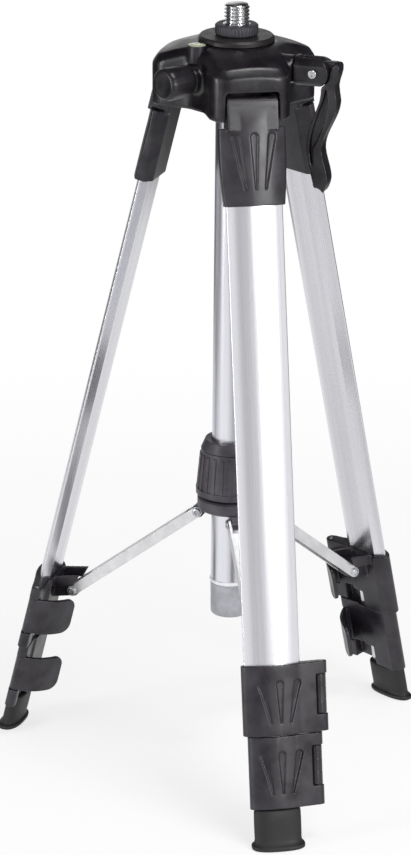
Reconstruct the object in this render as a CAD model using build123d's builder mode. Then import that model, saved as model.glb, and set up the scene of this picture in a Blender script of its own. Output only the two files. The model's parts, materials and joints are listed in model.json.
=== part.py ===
from build123d import *
import os
from math import cos, hypot, pi, radians, sin, sqrt

os.makedirs("parts", exist_ok=True)

# Elevating tripod for a small instrument: three telescopic legs with flip-lever clamps, a spreader
# that slides on the guide tube, and a rack-driven centre column with a 5/8 inch stud.
# Millimetres. The origin is on the column's axis, where an instrument seats; +Z is up and the front
# leg points along -Y. Heights named ..._HEIGHT are over the ground, and level() turns them into Z.

# Stance
SEAT_HEIGHT = 491.0
PIVOT_HEIGHT = 450.0
PIVOT_RADIUS = 42.2
SPLAY = 13.66
LEG_TURNS = {"front": 0, "right": 120, "left": 240}

# Leg tubes: bowed outside, flat towards the column between two slanted flanks that meet the bow in
# narrow tips; each section nests in the one above it
TUBE_TIP = 18.9
TUBE_CROWN = 5.0
TUBE_FLAT = 4.2
TUBE_FLAT_HALF = 11.5
TIP_ROUND = 1.0
LEAST_TIP_ROUND = 0.5
TUBE_WALL = 0.9
NEST_GAP = 0.3
NEST = TUBE_WALL + NEST_GAP

# Stations along a leg, measured down from its hinge
LEG_TOP_SHOULDER = 14.4
LEG_TOP_END = 62.5
UPPER_TUBE = (24.0, 372.0)
UPPER_COLLAR = (347.4, 391.6)
MIDDLE_TUBE = (76.0, 418.0)
LOWER_COLLAR = (392.2, 438.0)
LOWER_TUBE = (90.0, 453.0)
FOOT_TOP = 438.4

# Feet
BOOT = (30.0, 11.6)
SOLE = (34.0, 15.2)
SOLE_RIM = 3.2
SOLE_SPARE = 12.0

# Leg-top fitting
TONGUE_WIDTH = 32.2
TONGUE_RADIUS = 7.0
TONGUE_NOTCH = (25.0, 4.4)
SHOULDER_HALF = 20.8
FITTING_WALL = 2.8
FITTING_TIP_ROUND = 3.0
FITTING_END_HALF = 18.9
FITTING_BELLY = 1.0
HINGE_PIN_RADIUS = 2.5
HINGE_PIN_HALF = 23.2
PIN_CLEARANCE = 0.1

# Claw grooves pressed into the outer plates
GROOVE_SPREAD = (11.5, 6.4)
GROOVE_RADII = (2.4, 0.6)
GROOVE_DEPTH = 1.1
GROOVE_SHIFT = 3.4

# Clamp collars and flip levers
COLLAR_WALL = 2.7
COLLAR_TIP_ROUND = 4.4
COLLAR_RING = 31.8
RING_CUT_START = 4.0
HINGE_X = 32.0
HINGE_SHRINK = 3.5
HINGE_IN = 2.6
KNUCKLE_RADIUS = 3.4
BARREL_RADIUS = 2.7
WINDOW = (8.0, 33.4)
WINDOW_GAP = 0.3
GUIDE_GAP = 0.3
LEVER_PIN_RADIUS = 1.3
LEVER_THICKNESS = 2.6
LEVER_TURNS = (130.0, 144.0)
LEVER_RUNS = (12.8, 18.0)
LEVER_CORNER = 7.0

# Strut bracket, struts and spreader hub
BRACKET_RADIUS = 107.0
BRACKET_HEIGHT = 101.6
LUG_WIDTH = 9.0
LUG_RADIUS = 4.2
EAR_GAP = 8.2
EAR_THICKNESS = 2.2
STRUT_WIDTH = 13.0
STRUT_DEPTH = 6.8
STRUT_WALL = 1.1
STRUT_CHEEK = 1.7
STRUT_COVER = 0.7
STRUT_SLOT = 9.7
STRUT_SLOT_WIDTH = 4.2
WEB_RELIEF = (9.0, 18.0)
RIVET_RADIUS = 1.2
RIVET_HEAD_RADIUS = 2.9
RIVET_HEAD = 1.0
HUB_PIVOT_RADIUS = 21.0
HUB_PIVOT_HEIGHT = 167.6
HUB_FLANGE_HEIGHT = (172.0, 180.5)
HUB_FLANGE_RADIUS = 21.6
HUB_SLEEVE_RADIUS = 15.5
HUB_CAP_HEIGHT = (212.6, 219.0)
HUB_CAP_RADIUS = (19.6, 16.8)
LOCK_BARREL_HEIGHT = (182.6, 212.2)
LOCK_BARREL_RADIUS = (22.6, 20.2)
LOCK_BARREL_RIBS = 24
BARREL_RIB_WIDTH = 2.4
BARREL_RIB_DEPTH = 0.9
SLIDE_GAP = 0.3

# Guide tube and centre column
GUIDE_RADIUS = 12.5
GUIDE_WALL = 1.3
GUIDE_HEIGHT = (122.0, 454.0)
END_CAP_FLANGE = (119.0, 124.0)
END_CAP_FLANGE_RADIUS = 13.3
END_CAP_BOTTOM = 99.0
COLUMN_RADIUS = GUIDE_RADIUS - GUIDE_WALL - SLIDE_GAP
COLUMN_BORE = 4.2
COLUMN_HEIGHT = (142.0, 480.0)
PLATFORM_HEIGHT = (480.0, 484.0)
PLATFORM_RADIUS = 23.7
STUD_RADIUS = 15.875 / 2
STUD_NECK = 8.6
STUD_LEAD = 1.0
STUD_TOP_HEIGHT = 503.5
LOCK_RING_RADIUS = 13.5

# Rack and crank; the crank's axis passes beside the column
MODULE = 1.0
PINION_TEETH = 10
PINION_WIDTH = 6.0
TOOTH_TIP, TOOTH_FOOT = 0.6, 1.6
RACK_PITCH_LINE = 7.0
RACK_HEIGHT = (208.0, 477.0)
RACK_HALF = 3.5
CRANK_HEIGHT = 468.0
CRANK_TURN = -30.0
SHAFT_RADIUS = 2.5
SHAFT_SEAT = 3.0
CRANK_BOSS_RADIUS = 9.6
CRANK_BOSS_START = 43.0
CRANK_CHEEK = 8.6
CRANK_SLOT = 6.4
CRANK_SLOT_START = 46.5
CRANK_PIVOT = 55.5
CRANK_SCREW_RADIUS = 1.75
CRANK_SCREW_HEAD_RADIUS = 2.7
CRANK_SCREW_HEAD = 1.6
# Edges of the arm, from its top down, in the crank's frame
ARM_OUTER = (
    (69.6, 9.0),
    (71.4, 1.0),
    (69.3, -8.0),
    (70.4, -18.0),
    (61.3, -48.0),
    (65.2, -68.0),
    (62.5, -76.0),
)
ARM_INNER = ((60.0, -10.0), (59.6, -16.0), (54.6, -30.5), (51.4, -46.0), (53.6, -61.0), (56.6, -73.0))
ARM_TOE = 6.0
ARM_TOP_ROUND = 2.0
ARM_GAP = 0.4
ARM_WIDTH = 11.0
ARM_EYE_RADIUS = 7.0
ARM_BRIDGE = 14.0
ARM_POCKET = 3.2
ARM_OUTER_RIM = 6.0
ARM_INNER_RIM = 2.2

# Head
HEAD_TOP_HEIGHT = 480.4
DOME_RADIUS = 120.0
HEAD_BOTTOM_HEIGHT = 440.0
HEAD_CORE_RADIUS = 34.0
YOKE_REACH = 49.6
YOKE_WIDTH = 51.0
YOKE_CORNER = 11.0
RECESS_CORNER = 14.0
RIM_BEVEL = 4.0
HEADROOM = 6.0
YOKE_SLOT_WIDTH = 33.4
YOKE_SLOT_BACK = 34.4
YOKE_SLOT_TOP = 458.4
SEAT_POCKET_RADIUS = 24.2
PLATFORM_GAP = 0.4
BEARING_RADIUS = 9.0
BEARING_END = 42.4
KNOB_HEIGHT = 461.0
KNOB_TURN = -150.0
KNOB_RADIUS = 10.8
KNOB = (41.0, 61.0)
KNOB_SEAT = 12.0
KNOB_RING = (5.0, 2.0, 0.9)
KNOB_BOSS_RADIUS = 8.5
KNOB_BOSS_END = 40.4
LOCK_SCREW_RADIUS = 3.0
LOCK_SCREW_TIP = 13.8
BRAKE_PAD_RADIUS = 2.4
BUBBLE_PLACE = (-27.6, -12.2)
BUBBLE_RADIUS = 5.8
BUBBLE_WALL = 1.4
BUBBLE_FLOOR = 5.0
BUBBLE_HEIGHT = (470.0, 481.0)


def level(height):
    """Z of a height over the ground."""
    return height - SEAT_HEIGHT


def spot(turn, reach, height):
    """Point at a compass turn (degrees from +X) and reach from the column's axis."""
    return (reach * cos(radians(turn)), reach * sin(radians(turn)), level(height))


def facing(turn, reach, height):
    """Upright plane whose normal points outwards along a turn."""
    outward = (cos(radians(turn)), sin(radians(turn)), 0)
    sideways = (-sin(radians(turn)), cos(radians(turn)), 0)
    return Plane(origin=spot(turn, reach, height), x_dir=sideways, z_dir=outward)


def leg_place(turn):
    """Place of a leg's own frame: origin at its hinge, Z up the leg, outer face towards -Y."""
    hinge = Location((0, -PIVOT_RADIUS, level(PIVOT_HEIGHT)), (-SPLAY, 0, 0))
    return Location((0, 0, 0), (0, 0, turn)) * hinge


def column_place(turn):
    """Turn about the column's axis, for pieces drawn on the front leg's side."""
    return Location((0, 0, 0), (0, 0, turn))


def save(piece, name):
    piece.label = name
    export_step(piece, f"parts/{name}.step")


def save_three(piece, ending, place):
    for leg, turn in LEG_TURNS.items():
        save(piece.moved(place(turn)), f"{leg}_{ending}")


def tube_outline(inset, tip_round):
    """Leg section, shrunk by an inset on all sides, with its two tips rounded."""
    bow = (TUBE_TIP**2 + TUBE_CROWN**2) / (2 * TUBE_CROWN)
    flank = hypot(TUBE_TIP - TUBE_FLAT_HALF, TUBE_FLAT)
    lean_x, lean_y = TUBE_FLAT / flank, (TUBE_TIP - TUBE_FLAT_HALF) / flank
    flank_reach = lean_x * TUBE_TIP - inset
    flat = TUBE_FLAT - inset
    crease_x = (flank_reach - lean_y * flat) / lean_x
    foot_x, foot_y = flank_reach * lean_x, flank_reach * lean_y
    centre_y = bow - TUBE_CROWN
    along = foot_x * lean_y - (foot_y - centre_y) * lean_x
    past = along**2 - foot_x**2 - (foot_y - centre_y) ** 2 + (bow - inset) ** 2
    run = sqrt(past) - along
    tip_x, tip_y = foot_x + run * lean_y, foot_y - run * lean_x
    with BuildSketch() as outline:
        with BuildLine():
            Polyline((-tip_x, tip_y), (-crease_x, flat), (crease_x, flat), (tip_x, tip_y))
            ThreePointArc((tip_x, tip_y), (0, inset - TUBE_CROWN), (-tip_x, tip_y))
        make_face()
        tips = outline.vertices().sort_by(Axis.X)
        fillet([tips[0], tips[-1]], tip_round)
    return outline.sketch


def bore_outline(inset):
    """Section of a tube's outside or bore."""
    return tube_outline(inset, max(TIP_ROUND - inset, LEAST_TIP_ROUND))


def leg_tube(inset, stations):
    top, bottom = stations
    with BuildPart() as tube:
        with BuildSketch(Plane.XY.offset(-bottom)):
            add(bore_outline(inset))
            add(bore_outline(inset + TUBE_WALL), mode=Mode.SUBTRACT)
        extrude(amount=bottom - top)
    return tube.part


def claw_grooves(inset, centre, top, bottom):
    """Cutter for three grooves that converge downwards, of even depth under a bowed outer face."""
    wide, narrow = GROOVE_SPREAD
    with BuildPart() as grooves:
        with BuildSketch(Plane.XZ):
            for side in (-1, 0, 1):
                with BuildSketch(mode=Mode.PRIVATE) as groove:
                    with Locations((centre + side * wide, -top)):
                        Circle(GROOVE_RADII[0])
                    with Locations((centre + side * narrow, -bottom)):
                        Circle(GROOVE_RADII[1])
                    make_hull()
                add(groove.sketch)
        extrude(amount=TUBE_TIP)
        with BuildSketch(Plane.XY.offset(-bottom - GROOVE_RADII[0])):
            add(tube_outline(inset + GROOVE_DEPTH, TIP_ROUND))
        extrude(amount=bottom - top + 2 * GROOVE_RADII[0], mode=Mode.SUBTRACT)
    return grooves.part


# Leg-top fitting: hinge tongue above, shield-shaped socket for the upper tube below
with BuildPart() as leg_top:
    with BuildSketch(Plane.YZ):
        Circle(TONGUE_RADIUS)
        with Locations((0, -LEG_TOP_SHOULDER / 2 - 1)):
            Rectangle(2 * TONGUE_RADIUS, LEG_TOP_SHOULDER + 2)
    extrude(amount=TONGUE_WIDTH / 2, both=True)
    with BuildSketch(Plane.XY.offset(-LEG_TOP_END)):
        add(tube_outline(-FITTING_WALL, FITTING_TIP_ROUND))
    extrude(amount=LEG_TOP_END - LEG_TOP_SHOULDER)
    with BuildSketch(Plane.XZ):
        middle = (-LEG_TOP_SHOULDER - LEG_TOP_END) / 2
        belly = (SHOULDER_HALF + FITTING_END_HALF) / 2 + FITTING_BELLY
        with BuildLine():
            Polyline(
                (-SHOULDER_HALF, -LEG_TOP_SHOULDER),
                (-SHOULDER_HALF, 2 * TONGUE_RADIUS),
                (SHOULDER_HALF, 2 * TONGUE_RADIUS),
                (SHOULDER_HALF, -LEG_TOP_SHOULDER),
            )
            ThreePointArc(
                (SHOULDER_HALF, -LEG_TOP_SHOULDER), (belly, middle), (FITTING_END_HALF, -LEG_TOP_END)
            )
            Line((FITTING_END_HALF, -LEG_TOP_END), (-FITTING_END_HALF, -LEG_TOP_END))
            ThreePointArc(
                (-FITTING_END_HALF, -LEG_TOP_END), (-belly, middle), (-SHOULDER_HALF, -LEG_TOP_SHOULDER)
            )
        make_face()
    extrude(amount=2 * TONGUE_RADIUS, both=True, mode=Mode.INTERSECT)
    with BuildSketch(Plane.XY.offset(-LEG_TOP_END)):
        add(bore_outline(0))
    extrude(amount=LEG_TOP_END - UPPER_TUBE[0], mode=Mode.SUBTRACT)
    add(claw_grooves(-FITTING_WALL, 0, 20, 52), mode=Mode.SUBTRACT)
    with Locations((0, 0, TONGUE_RADIUS)):
        notch_width, notch_floor = TONGUE_NOTCH
        Box(notch_width, 4 * TONGUE_RADIUS, 2 * (TONGUE_RADIUS - notch_floor), mode=Mode.SUBTRACT)
    with BuildSketch(Plane.YZ):
        Circle(HINGE_PIN_RADIUS + PIN_CLEARANCE)
    extrude(amount=TONGUE_WIDTH, both=True, mode=Mode.SUBTRACT)
save_three(leg_top.part, "leg_top", leg_place)

save_three(leg_tube(0, UPPER_TUBE), "upper_tube", leg_place)
save_three(leg_tube(NEST, MIDDLE_TUBE), "middle_tube", leg_place)
save_three(leg_tube(2 * NEST, LOWER_TUBE), "lower_tube", leg_place)


def lever_hinge(inset):
    """Plan position of a collar's lever hinge, which runs along the leg."""
    return (HINGE_X - HINGE_SHRINK * inset, HINGE_IN)


def collar(inset, stations, tube_end):
    """Clamp collar: ring, wing with the lever's knuckles at the right, inner side cut back under the lever."""
    top, bottom = stations
    hinge_x, hinge_y = lever_hinge(inset)
    window_top, window_bottom = top + WINDOW[0], top + WINDOW[1]
    ring = tube_outline(inset - COLLAR_WALL, COLLAR_TIP_ROUND)
    tip_x = ring.bounding_box().max.X - COLLAR_TIP_ROUND
    with BuildPart() as body:
        with BuildSketch(Plane.XY.offset(-bottom)):
            with Locations((tip_x, 0)):
                Circle(COLLAR_TIP_ROUND)
            with Locations((hinge_x, hinge_y)):
                Circle(KNUCKLE_RADIUS)
            make_hull()
            add(ring)
        extrude(amount=bottom - top)
        with BuildSketch(Plane.XY.offset(-top)):
            add(bore_outline(inset))
        extrude(amount=-(tube_end - top), mode=Mode.SUBTRACT)
        with BuildSketch(Plane.XY.offset(-top)):
            add(bore_outline(inset + NEST - GUIDE_GAP))
        extrude(amount=-(bottom - top), mode=Mode.SUBTRACT)
        with BuildSketch(Plane.XZ):
            with Locations((RING_CUT_START + TUBE_TIP / 2, -(top + COLLAR_RING + bottom) / 2 - 1)):
                Rectangle(TUBE_TIP, bottom - top - COLLAR_RING + 2)
        extrude(amount=-TUBE_TIP, mode=Mode.SUBTRACT)
        with Locations((hinge_x, 0, -(window_top + window_bottom) / 2)):
            gap = 2 * KNUCKLE_RADIUS + 2
            Box(gap, 2 * TUBE_TIP, window_bottom - window_top, mode=Mode.SUBTRACT)
        with BuildSketch(Plane.XY.offset(-bottom)):
            with Locations((hinge_x, hinge_y)):
                Circle(LEVER_PIN_RADIUS)
        extrude(amount=bottom - top, mode=Mode.SUBTRACT)
        add(claw_grooves(inset - COLLAR_WALL, GROOVE_SHIFT, top + 12, top + 36), mode=Mode.SUBTRACT)
    return body.part


def lever(inset, stations):
    """Flip lever: barrel on the hinge, plate that folds round the tube's inner side, rounded free end."""
    window_top, window_bottom = stations[0] + WINDOW[0] + WINDOW_GAP, stations[0] + WINDOW[1] - WINDOW_GAP
    hinge_x, hinge_y = lever_hinge(inset)
    (first_x, first_y), (last_x, last_y) = (
        (cos(radians(turn)), sin(radians(turn))) for turn in LEVER_TURNS
    )
    start_x, start_y = hinge_x + BARREL_RADIUS * first_y, hinge_y - BARREL_RADIUS * first_x
    bend_x, bend_y = start_x + LEVER_RUNS[0] * first_x, start_y + LEVER_RUNS[0] * first_y
    end_x, end_y = bend_x + LEVER_RUNS[1] * last_x, bend_y + LEVER_RUNS[1] * last_y
    with BuildPart() as body:
        with BuildSketch(Plane.XY.offset(-window_bottom)):
            Polygon(
                (start_x, start_y),
                (bend_x, bend_y),
                (end_x, end_y),
                (end_x - LEVER_THICKNESS * last_y, end_y + LEVER_THICKNESS * last_x),
                (bend_x - LEVER_THICKNESS * last_y, bend_y + LEVER_THICKNESS * last_x),
                (start_x - LEVER_THICKNESS * first_y, start_y + LEVER_THICKNESS * first_x),
                align=None,
            )
            with Locations((hinge_x, hinge_y)):
                Circle(BARREL_RADIUS)
                Circle(LEVER_PIN_RADIUS + PIN_CLEARANCE, mode=Mode.SUBTRACT)
        extrude(amount=window_bottom - window_top)
        across = Axis((0, 0, 0), (last_y, -last_x, 0))
        onward = Axis((0, 0, 0), (last_x, last_y, 0))
        fillet(body.edges().filter_by(across).group_by(onward)[-1], radius=LEVER_CORNER)
    return body.part


def lever_pin(inset, stations):
    top, bottom = stations
    with BuildPart() as pin:
        with BuildSketch(Plane.XY.offset(-bottom)):
            with Locations(lever_hinge(inset)):
                Circle(LEVER_PIN_RADIUS)
        extrude(amount=bottom - top)
    return pin.part


# Bracket point of a leg in the leg's own frame
bracket_out = BRACKET_RADIUS - PIVOT_RADIUS
bracket_down = PIVOT_HEIGHT - BRACKET_HEIGHT
bracket_station = bracket_out * sin(radians(SPLAY)) + bracket_down * cos(radians(SPLAY))
bracket_in = bracket_down * sin(radians(SPLAY)) - bracket_out * cos(radians(SPLAY))
ring_face = TUBE_FLAT + COLLAR_WALL

# Upper collar: lug for the strut, between two pointed guard ears
with BuildPart() as upper_collar:
    add(collar(0, UPPER_COLLAR, UPPER_TUBE[1]))
    with BuildSketch(Plane.YZ):
        with BuildLine():
            Polyline(
                (ring_face - 1, -bracket_station + LUG_RADIUS),
                (bracket_in, -bracket_station + LUG_RADIUS),
            )
            ThreePointArc(
                (bracket_in, -bracket_station + LUG_RADIUS),
                (bracket_in + LUG_RADIUS, -bracket_station),
                (bracket_in, -bracket_station - LUG_RADIUS),
            )
            Polyline(
                (bracket_in, -bracket_station - LUG_RADIUS),
                (ring_face - 1, -bracket_station - 2.4 * LUG_RADIUS),
                (ring_face - 1, -bracket_station + LUG_RADIUS),
            )
        make_face()
    extrude(amount=LUG_WIDTH / 2, both=True)
    for side in (-1, 1):
        with BuildSketch(Plane.YZ.offset(side * EAR_GAP)):
            with BuildLine():
                Polyline(
                    (ring_face - 1, -UPPER_COLLAR[0] - 6),
                    (bracket_in + 1, -UPPER_COLLAR[0] - 1),
                    (bracket_in + 3, -UPPER_COLLAR[0] + 7),
                    (ring_face - 1, -UPPER_COLLAR[0] + 1),
                    close=True,
                )
            make_face()
        extrude(amount=side * EAR_THICKNESS)
    with BuildSketch(Plane.YZ):
        with Locations((bracket_in, -bracket_station)):
            Circle(RIVET_RADIUS)
    extrude(amount=LUG_WIDTH, both=True, mode=Mode.SUBTRACT)
    add(leg_tube(0, UPPER_TUBE), mode=Mode.SUBTRACT)
save_three(upper_collar.part, "upper_collar", leg_place)
save_three(collar(NEST, LOWER_COLLAR, MIDDLE_TUBE[1]), "lower_collar", leg_place)
save_three(lever(0, UPPER_COLLAR), "upper_lever", leg_place)
save_three(lever(NEST, LOWER_COLLAR), "lower_lever", leg_place)
save_three(lever_pin(0, UPPER_COLLAR), "upper_lever_pin", leg_place)
save_three(lever_pin(NEST, LOWER_COLLAR), "lower_lever_pin", leg_place)

# Foot: rubber boot on the lower tube, with a flared sole cut level with the ground
ground_station = PIVOT_HEIGHT / cos(radians(SPLAY))
ground = Plane(
    origin=(0, 0, -ground_station), x_dir=(1, 0, 0), z_dir=(0, -sin(radians(SPLAY)), cos(radians(SPLAY)))
)
with BuildPart() as foot:
    with BuildSketch(Plane.XY.offset(-ground_station - SOLE_SPARE)):
        SlotOverall(*SOLE)
    extrude(amount=2 * SOLE_SPARE)
    split(bisect_by=ground.offset(SOLE_RIM), keep=Keep.BOTTOM)
    with BuildSketch(Plane.XY.offset(-ground_station - SOLE_SPARE)):
        SlotOverall(*BOOT)
    extrude(amount=ground_station + SOLE_SPARE - FOOT_TOP)
    split(bisect_by=ground, keep=Keep.TOP)
    with BuildSketch(Plane.XY.offset(-LOWER_TUBE[1])):
        add(bore_outline(2 * NEST))
    extrude(amount=LOWER_TUBE[1] - FOOT_TOP, mode=Mode.SUBTRACT)
save_three(foot.part, "foot", leg_place)


def rivet_heads(plane, start):
    """Two round heads, one each side of a plane, from a start off it."""
    with BuildPart() as heads:
        for side in (-1, 1):
            with BuildSketch(plane.offset(side * start)):
                Circle(RIVET_HEAD_RADIUS)
            extrude(amount=side * RIVET_HEAD)
    return heads.part


def pin_across(plane, half):
    """Plain pin along a plane's normal."""
    with BuildPart() as pin:
        with BuildSketch(plane):
            Circle(RIVET_RADIUS)
        extrude(amount=half, both=True)
    return pin.part


# The leg's end of the strut turns on a plain pin, whose ends run in blind grooves inside the strut
bracket_plane = Plane((0, bracket_in, -bracket_station), Plane.YZ.x_dir, Plane.YZ.z_dir)
strut_pin = pin_across(bracket_plane, STRUT_WIDTH / 2 - STRUT_COVER - SLIDE_GAP / 2)
save_three(strut_pin, "strut_rivet", leg_place)

# Strut: pressed channel, open below, its web cut back at both ends; it hangs from the hub's rivet, and
# has a groove inside each cheek for the leg's pin, with a round head outside
strut_run = BRACKET_RADIUS - HUB_PIVOT_RADIUS
strut_drop = HUB_PIVOT_HEIGHT - BRACKET_HEIGHT
strut_length = hypot(strut_run, strut_drop)
strut_plane = Plane(
    origin=(0, -HUB_PIVOT_RADIUS, level(HUB_PIVOT_HEIGHT)),
    x_dir=(0, -strut_run, -strut_drop),
    z_dir=(1, 0, 0),
)
with BuildPart() as strut:
    with BuildSketch(strut_plane):
        with Locations((strut_length / 2, 0)):
            SlotCenterToCenter(strut_length, STRUT_DEPTH)
    extrude(amount=STRUT_WIDTH / 2, both=True)
    with BuildSketch(strut_plane):
        with Locations((strut_length / 2, STRUT_WALL)):
            Rectangle(strut_length + 2 * STRUT_DEPTH, STRUT_DEPTH)
        with Locations((WEB_RELIEF[0] - STRUT_DEPTH, 0)):
            Rectangle(2 * STRUT_DEPTH, 2 * STRUT_DEPTH)
        with Locations((strut_length - WEB_RELIEF[1] + 2 * STRUT_DEPTH, 0)):
            Rectangle(4 * STRUT_DEPTH, 2 * STRUT_DEPTH)
    extrude(amount=STRUT_WIDTH / 2 - STRUT_CHEEK, both=True, mode=Mode.SUBTRACT)
    with BuildSketch(strut_plane):
        with Locations((strut_length - STRUT_SLOT / 2, 0)):
            SlotCenterToCenter(STRUT_SLOT, STRUT_SLOT_WIDTH)
    extrude(amount=STRUT_WIDTH / 2 - STRUT_COVER, both=True, mode=Mode.SUBTRACT)
    with BuildSketch(strut_plane):
        Circle(RIVET_RADIUS + PIN_CLEARANCE)
    extrude(amount=STRUT_WIDTH, both=True, mode=Mode.SUBTRACT)
    leg_end = Plane(strut_plane.from_local_coords((strut_length, 0, 0)), strut_plane.x_dir, strut_plane.z_dir)
    add(rivet_heads(leg_end, STRUT_WIDTH / 2))
save_three(strut.part, "strut", column_place)

# Hub: flange with three lugs, collet sleeve above it
hub_bore = GUIDE_RADIUS + SLIDE_GAP
flange_low, flange_high = (level(height) for height in HUB_FLANGE_HEIGHT)
cap_low, cap_high = (level(height) for height in HUB_CAP_HEIGHT)
with BuildPart() as hub_lug:
    with BuildSketch(Plane.YZ):
        with Locations((-HUB_PIVOT_RADIUS, level(HUB_PIVOT_HEIGHT))):
            Circle(LUG_RADIUS)
        with Locations((-HUB_FLANGE_RADIUS + LUG_RADIUS, flange_low)):
            Rectangle(2 * LUG_RADIUS, 1)
        make_hull()
    extrude(amount=LUG_WIDTH / 2, both=True)
hub_end = Plane((0, -HUB_PIVOT_RADIUS, level(HUB_PIVOT_HEIGHT)), Plane.YZ.x_dir, Plane.YZ.z_dir)
head_start = STRUT_WIDTH / 2 + SLIDE_GAP
with BuildPart() as hub_rivet:
    add(pin_across(hub_end, head_start))
    add(rivet_heads(hub_end, head_start))
with BuildPart() as hub_rivets:
    for turn in LEG_TURNS.values():
        add(hub_rivet.part.moved(column_place(turn)))
save(hub_rivets.part, "hub_rivets")
with BuildPart() as hub:
    with BuildSketch(Plane.XZ):
        with BuildLine():
            Polyline(
                (hub_bore, flange_low),
                (HUB_FLANGE_RADIUS, flange_low),
                (HUB_FLANGE_RADIUS, flange_high),
                (HUB_SLEEVE_RADIUS, flange_high),
                (HUB_SLEEVE_RADIUS, cap_low),
                (HUB_CAP_RADIUS[0], cap_low),
                (HUB_CAP_RADIUS[1], cap_high),
                (hub_bore, cap_high),
                close=True,
            )
        make_face()
    revolve(axis=Axis.Z)
    rims = hub.edges().filter_by(GeomType.CIRCLE)
    chamfer(rims.filter_by(lambda edge: edge.radius > HUB_FLANGE_RADIUS - 0.1), length=1.2)
    for turn in LEG_TURNS.values():
        add(hub_lug.part.moved(column_place(turn)))
    add(hub_rivets.part, mode=Mode.SUBTRACT)
save(hub.part, "hub")

# Twist ring round the hub's sleeve: ribbed cone
barrel_low, barrel_high = (level(height) for height in LOCK_BARREL_HEIGHT)
barrel_bore = HUB_SLEEVE_RADIUS + SLIDE_GAP
with BuildPart() as barrel_rib:
    with BuildSketch(Plane.XZ):
        with BuildLine():
            Polyline(
                (barrel_bore + 1, barrel_low + 4),
                (LOCK_BARREL_RADIUS[0] - 0.3, barrel_low + 4),
                (LOCK_BARREL_RADIUS[1], barrel_high - 2.5),
                (barrel_bore + 1, barrel_high - 2.5),
                close=True,
            )
        make_face()
    extrude(amount=BARREL_RIB_WIDTH / 2, both=True)
with BuildPart() as hub_lock_ring:
    with BuildSketch(Plane.XZ):
        with BuildLine():
            Polyline(
                (barrel_bore, barrel_low),
                (LOCK_BARREL_RADIUS[0], barrel_low),
                (LOCK_BARREL_RADIUS[0], barrel_low + 4),
                (LOCK_BARREL_RADIUS[0] - BARREL_RIB_DEPTH, barrel_low + 4),
                (LOCK_BARREL_RADIUS[1] - BARREL_RIB_DEPTH, barrel_high),
                (barrel_bore, barrel_high),
                close=True,
            )
        make_face()
    revolve(axis=Axis.Z)
    with PolarLocations(0, LOCK_BARREL_RIBS):
        add(barrel_rib.part)
save(hub_lock_ring.part, "hub_lock_ring")

# Guide tube and its end cap
guide_low, guide_high = (level(height) for height in GUIDE_HEIGHT)
with BuildPart() as guide_tube:
    with BuildSketch(Plane.XY.offset(guide_low)):
        Circle(GUIDE_RADIUS)
        Circle(GUIDE_RADIUS - GUIDE_WALL, mode=Mode.SUBTRACT)
    extrude(amount=guide_high - guide_low)
save(guide_tube.part, "guide_tube")

with BuildPart() as guide_end_cap:
    collar_low, collar_high = (level(height) for height in END_CAP_FLANGE)
    with BuildSketch(Plane.XZ):
        with BuildLine():
            Polyline(
                (0, level(END_CAP_BOTTOM)),
                (GUIDE_RADIUS, level(END_CAP_BOTTOM)),
                (GUIDE_RADIUS, collar_low),
                (END_CAP_FLANGE_RADIUS, collar_low),
                (END_CAP_FLANGE_RADIUS, collar_high),
                (GUIDE_RADIUS, collar_high),
                (GUIDE_RADIUS, guide_low),
                (0, guide_low),
                close=True,
            )
        make_face()
    revolve(axis=Axis.Z)
    chamfer(guide_end_cap.edges().group_by(Axis.Z)[0], length=2)
save(guide_end_cap.part, "guide_end_cap")

# Crank frame: X along the crank's axis away from the column, Y up, Z towards the rack's side
rack_turn = CRANK_TURN - 90
crank_offset = RACK_PITCH_LINE + MODULE * PINION_TEETH / 2
crank_plane = Plane(
    origin=spot(rack_turn, crank_offset, CRANK_HEIGHT),
    x_dir=spot(CRANK_TURN, 1, SEAT_HEIGHT),
    z_dir=spot(rack_turn, 1, SEAT_HEIGHT),
)


def crank_section(reach):
    """Plane across the crank's axis at a reach along it."""
    return Plane(
        origin=crank_plane.from_local_coords((reach, 0, 0)), x_dir=crank_plane.z_dir, z_dir=crank_plane.x_dir
    )


# Sliding column: a flat beside the shaft, with the rack's tooth gaps cut into it
rack_tip = RACK_PITCH_LINE + MODULE
rack_root = RACK_PITCH_LINE - 1.25 * MODULE
tooth_pitch = pi * MODULE
rack_plane = Plane(
    origin=(0, 0, level(CRANK_HEIGHT)),
    x_dir=spot(rack_turn, 1, SEAT_HEIGHT),
    z_dir=spot(CRANK_TURN + 180, 1, SEAT_HEIGHT),
)
gaps_up = int((RACK_HEIGHT[1] - CRANK_HEIGHT) / tooth_pitch)
gaps_down = int((CRANK_HEIGHT - RACK_HEIGHT[0]) / tooth_pitch)
with BuildPart() as elevator_column:
    with BuildSketch(Plane.XY.offset(level(COLUMN_HEIGHT[0]))):
        Circle(COLUMN_RADIUS)
        Circle(COLUMN_BORE, mode=Mode.SUBTRACT)
        with Locations(Location((0, 0, 0), (0, 0, rack_turn))):
            with Locations((rack_tip + COLUMN_RADIUS / 2, (2 * COLUMN_RADIUS - RACK_HALF) / 2)):
                Rectangle(COLUMN_RADIUS, 2 * COLUMN_RADIUS + RACK_HALF, mode=Mode.SUBTRACT)
    extrude(amount=COLUMN_HEIGHT[1] - COLUMN_HEIGHT[0])
    with BuildSketch(rack_plane):
        for gap in range(-gaps_down, gaps_up + 1):
            mid = gap * tooth_pitch
            mouth = (tooth_pitch - TOOTH_TIP) / 2
            floor = (tooth_pitch - TOOTH_FOOT) / 2
            with BuildLine():
                Polyline(
                    (rack_tip + 1, mid - mouth),
                    (rack_tip, mid - mouth),
                    (rack_root, mid - floor),
                    (rack_root, mid + floor),
                    (rack_tip, mid + mouth),
                    (rack_tip + 1, mid + mouth),
                    close=True,
                )
            make_face()
    extrude(amount=RACK_HALF, both=True, mode=Mode.SUBTRACT)
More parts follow.
